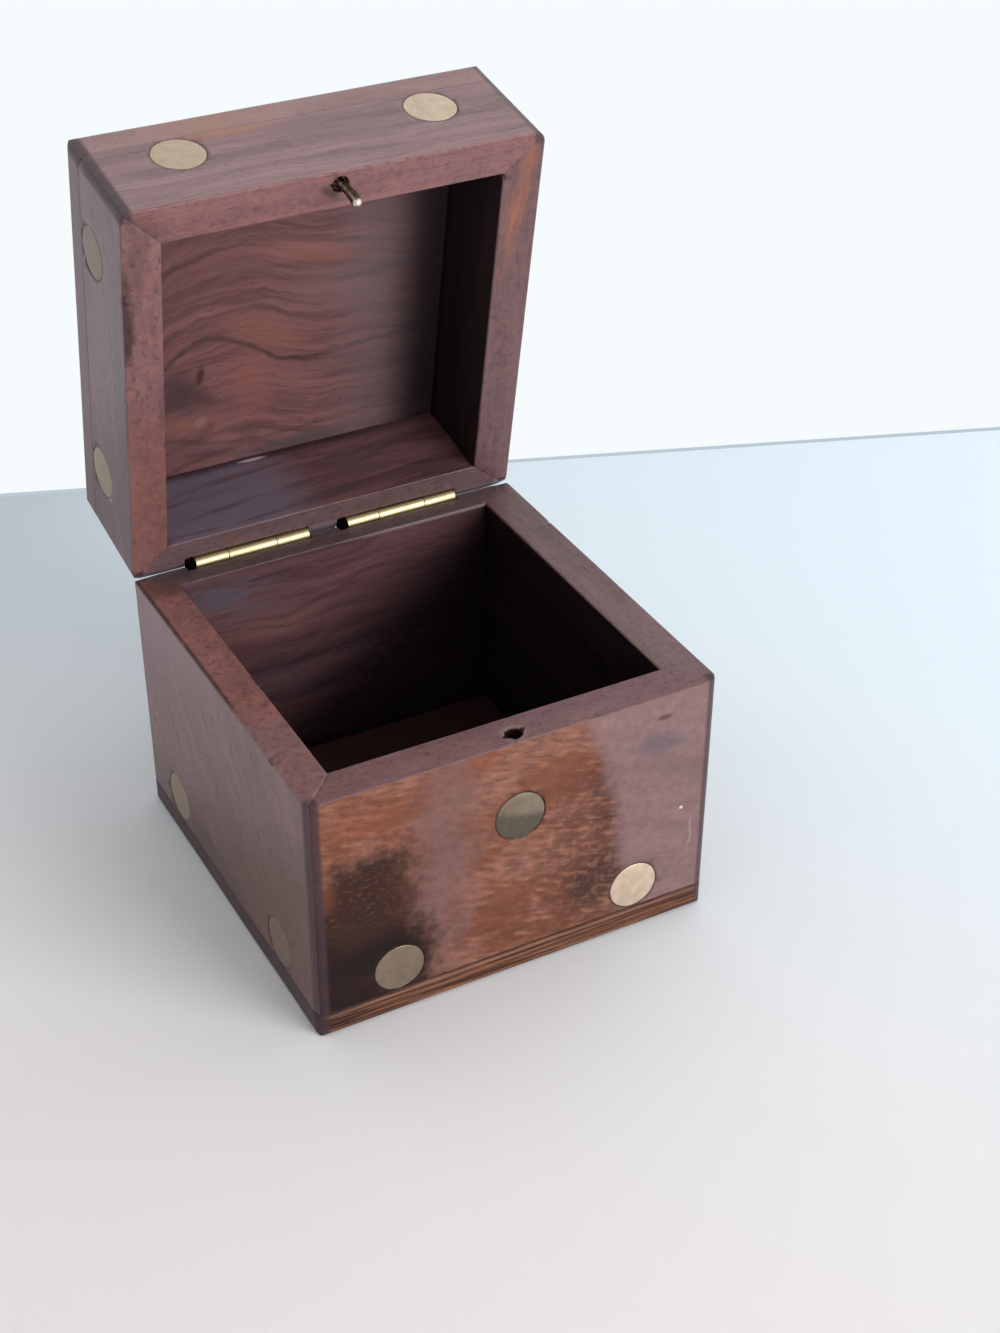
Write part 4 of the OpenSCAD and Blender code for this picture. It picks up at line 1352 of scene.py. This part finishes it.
pip_shape = profile_object("pip_profile", pip_profile())
for body in ("body", "lid"):
    seats, names = pip_seats(body)
    mesh = run_tree(body + "_pips", seats, pip_shape, PIP_SIDES, pip_finish[body])
    piece = new_piece(body + "_pips", mesh, body, pip_finish[body])
    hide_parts(*names)
    smooth(mesh)
    print(piece.name, len(names), "pips,", len(mesh.polygons), "faces")
bpy.data.objects.remove(pip_shape)

# %% [markdown]
# The hinges keep the CAD leaves' shape. A merged copy gets its knuckle ends eased, because bought
# hinges are tumbled after they are cut.

# %% Hinge leaves
KNUCKLE_EASE = 0.2
BORE_CLEAR = 1.0


def make_leaf(node):
    body = body_of[node]
    bm = shut_mesh(node)
    axis = Vector((AXIS_Y, AXIS_Z))
    ends = [e for e in bm.edges if len(e.link_faces) == 2 and e.is_convex and e.calc_face_angle(0) > SHARP]
    ends = [e for e in ends if abs(e.verts[0].co.x - e.verts[1].co.x) < FLAT]
    outer = [e for e in ends if all((v.co.yz - axis).length > BORE_CLEAR for v in e.verts)]
    ease_edges(bm, outer, KNUCKLE_EASE, 2)
    bmesh.ops.triangulate(bm, faces=bm.faces[:])
    mesh = open_mesh(bm, node + "_metal", body)
    piece = new_piece(node + "_metal", mesh, body, hinge_finish[body])
    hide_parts(node)
    shade(piece)
    print(piece.name, len(mesh.polygons), "triangles")


for node in sorted(nodes):
    if node.endswith("_leaf"):
        make_leaf(node)

# %% Hinge pins and brads
PIN_R = 0.5
HINGE_LEN = 22.3
PIN_SIDES = 24
BRAD_R = 0.45
BRAD_LEN = 4.4
BRAD_SIDES = 20
ROD_EASE = 0.12


def rod_profile(radius, length, ease_r):
    top = [(0.0, length)] + rounded_end(radius, length, ease_r)
    return top + [(r, length - h) for r, h in reversed(top)]


def seats_from_parts(node, axis, start_high):
    bm = shut_mesh(node)
    seats = []
    left = set(bm.verts)
    for first in bm.verts:
        if first not in left:
            continue
        left.remove(first)
        group, queue = [], [first]
        while queue:
            v = queue.pop()
            group.append(v.co.copy())
            for e in v.link_edges:
                other = e.other_vert(v)
                if other in left:
                    left.remove(other)
                    queue.append(other)
        low = Vector([min(c[i] for c in group) for i in range(3)])
        high = Vector([max(c[i] for c in group) for i in range(3)])
        start = (low + high) / 2
        start[axis] = high[axis] if start_high else low[axis]
        seats.append(seat(body_of[node], start, axis, -1 if start_high else 1))
    bm.free()
    return seats


pin_shape = profile_object("pin_profile", rod_profile(PIN_R, HINGE_LEN, ROD_EASE))
brad_shape = profile_object("brad_profile", rod_profile(BRAD_R, BRAD_LEN, ROD_EASE))
pin_seats = seats_from_parts("left_hinge_pin", 0, False) + seats_from_parts("right_hinge_pin", 0, False)
pins = run_tree("hinge_pins", pin_seats, pin_shape, PIN_SIDES, hinge_finish["lid"])
piece = new_piece("hinge_pins", pins, "lid", hinge_finish["lid"])
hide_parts("left_hinge_pin", "right_hinge_pin")
for body in ("body", "lid"):
    node = body + "_hinge_brads"
    seats = seats_from_parts(node, 1, True)
    mesh = run_tree(node + "_metal", seats, brad_shape, BRAD_SIDES, hinge_finish[body])
    piece = new_piece(node + "_metal", mesh, body, hinge_finish[body])
    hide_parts(node)
    print(piece.name, len(seats), "brads")

# %% [markdown]
# Left of each barrel the saw cut runs on for a little way, and on the real box this notch shows as a black dot of
# shade. A short, near-black round plug on the hinge axis paints that shade, so it stays clear of both halves as
# they turn.

# %% Painted shade in the notches beside the barrels
NOTCH_R = 0.92
NOTCH_LEN = 1.7
NOTCH_EASE = 0.15
NOTCH_GAP = 0.05


def shade_plug_finish():
    g = Finish("shade_plug_finish")
    place, x, y, z = shut_place(g, "body")
    plug_noise = g.noise(place, 3.0, 0.7, scale=2.5)
    colour = g.ramp(plug_noise, [(0.35, (0.001, 0.001, 0.001)), (0.70, (0.005, 0.003, 0.003))])
    return g.surface(colour, 0.9, plug_noise, 0.08, {"Specular IOR Level": 0.0})


shade_plug = shade_plug_finish()
notch_shape = profile_object("notch_profile", rod_profile(NOTCH_R, NOTCH_LEN, NOTCH_EASE))
notch_shift = Vector((NOTCH_LEN + NOTCH_GAP, 0, 0)) * MM
notch_seats = [(spot - notch_shift, way, tone) for spot, way, tone in pin_seats]
mesh = run_tree("hinge_notch_dust", notch_seats, notch_shape, PIN_SIDES, shade_plug)
new_piece("hinge_notch_dust", mesh, "body", shade_plug)
print("notches", len(notch_seats))
for shape in (pin_shape, brad_shape, notch_shape):
    bpy.data.objects.remove(shape)

# %% [markdown]
# The catch pin is a cut-off piece of tarnished rod, grooved by pliers, a little bent, with a worn bright
# tip. It is built as rings along a slightly curved line, whose radius dips at the grooves. A groove has
# its height, its width and its depth. Splinters of the lid's rim stand round the pin's root, where it
# was driven in. A splinter has its direction in degrees, its distance, its length and its width.

# %% Catch pin
CATCH_R = 0.84
CATCH_IN, CATCH_OUT = 5.0, 6.5
CATCH_ROOT = LID_RIM + CATCH_IN
CATCH_TIP = LID_RIM - CATCH_OUT
CATCH_SIDES = 28
CATCH_STEP = 0.12
TIP_STEPS = 8
OVAL, OVAL_TWIST = 0.07, 0.6
CATCH_BEND = 0.34
GROOVES = ((47.0, 0.30, 0.07), (45.3, 0.35, 0.05), (48.6, 0.22, 0.06))


def catch_ring(level):
    from_tip = level - CATCH_TIP
    radius = CATCH_R
    if from_tip < CATCH_R:
        radius = math.sqrt(max(0.0, CATCH_R ** 2 - (CATCH_R - from_tip) ** 2))
    for spot, width, depth in GROOVES:
        radius -= depth * math.exp(-((level - spot) / width) ** 2)
    out_of_wood = unit((LID_RIM - level) / CATCH_OUT)
    bend = CATCH_BEND * math.sin(math.pi * out_of_wood ** 0.8)
    ring = []
    for i in range(CATCH_SIDES):
        a = 2 * math.pi * i / CATCH_SIDES
        r = radius * (1 + OVAL * math.cos(2 * a + level * OVAL_TWIST))
        ring.append(Vector((bend + r * math.cos(a), LATCH_AT.y + r * math.sin(a), level)))
    return ring


def catch_levels():
    turns = [math.pi / 2 * i / TIP_STEPS for i in range(1, TIP_STEPS + 1)]
    tip = [CATCH_TIP + CATCH_R * (1 - math.cos(a)) for a in turns]
    count = int((CATCH_ROOT - tip[-1]) / CATCH_STEP)
    return tip + [tip[-1] + (CATCH_ROOT - tip[-1]) * i / count for i in range(1, count + 1)]


def make_catch():
    levels = catch_levels()
    bm = bmesh.new()
    rings = [[bm.verts.new(p) for p in catch_ring(level)] for level in levels]
    for low, high in zip(rings, rings[1:]):
        for i in range(CATCH_SIDES):
            j = (i + 1) % CATCH_SIDES
            bm.faces.new((low[i], low[j], high[j], high[i]))
    tip = bm.verts.new((0, LATCH_AT.y, CATCH_TIP))
    for i in range(CATCH_SIDES):
        bm.faces.new((tip, rings[0][(i + 1) % CATCH_SIDES], rings[0][i]))
    bm.faces.new(rings[-1])
    bmesh.ops.recalc_face_normals(bm, faces=bm.faces[:])
    mesh = open_mesh(bm, "catch_pin", "lid")
    piece = new_piece("catch_pin", mesh, "lid", pin_finish)
    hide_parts("latch_pin")
    smooth(mesh)
    print(piece.name, len(levels), "rings")


make_catch()

# %% Splinters round the pin's root
SPLINTERS = ((200, 1.30, 0.85, 0.30), (165, 1.25, 0.55, 0.24), (232, 1.35, 0.60, 0.22),
             (120, 1.25, 0.45, 0.20), (285, 1.30, 0.50, 0.20), (60, 1.30, 0.35, 0.18),
             (345, 1.25, 0.40, 0.18))
SPLINTER_SIDES = 5
SPLINTER_ROOT = LID_RIM + 0.45
LEAN_IN, LEAN_ASIDE = 0.12, 0.15
FLATNESS = 0.45


def add_splinter(bm, turn_deg, off, length, width):
    a = math.radians(turn_deg)
    way = Vector((math.cos(a), math.sin(a), 0))
    side = Vector((-way.y, way.x, 0))
    root = Vector((0, LATCH_AT.y, SPLINTER_ROOT)) + way * off
    down = Vector((0, 0, LID_RIM - length - SPLINTER_ROOT))
    tip = root - way * LEAN_IN + side * LEAN_ASIDE + down
    ring = []
    for i in range(SPLINTER_SIDES):
        b = 2 * math.pi * i / SPLINTER_SIDES
        spot = root + way * (FLATNESS * width * math.cos(b)) + side * (width * math.sin(b))
        ring.append(bm.verts.new(spot))
    point = bm.verts.new(tip)
    for i in range(SPLINTER_SIDES):
        bm.faces.new((ring[i], ring[(i + 1) % SPLINTER_SIDES], point))
    bm.faces.new(ring)


def splinter_wood():
    g = Finish("splinter_wood")
    place, x, y, z = shut_place(g, "lid")
    fibre = g.noise(g.vector(x * 6.0, y * 6.0, z * 1.2), 2.0, 0.6)
    colour = g.ramp(fibre, [(0.35, DARK), (0.65, (0.26, 0.13, 0.09))])
    return g.surface(colour, 0.6, fibre, 0.05, {"Specular IOR Level": 0.2})


bm = bmesh.new()
for numbers in SPLINTERS:
    add_splinter(bm, *numbers)
bmesh.ops.recalc_face_normals(bm, faces=bm.faces[:])
splinters = open_mesh(bm, "catch_splinters", "lid")
new_piece("catch_splinters", splinters, "lid", splinter_wood())
print("splinters", len(SPLINTERS))
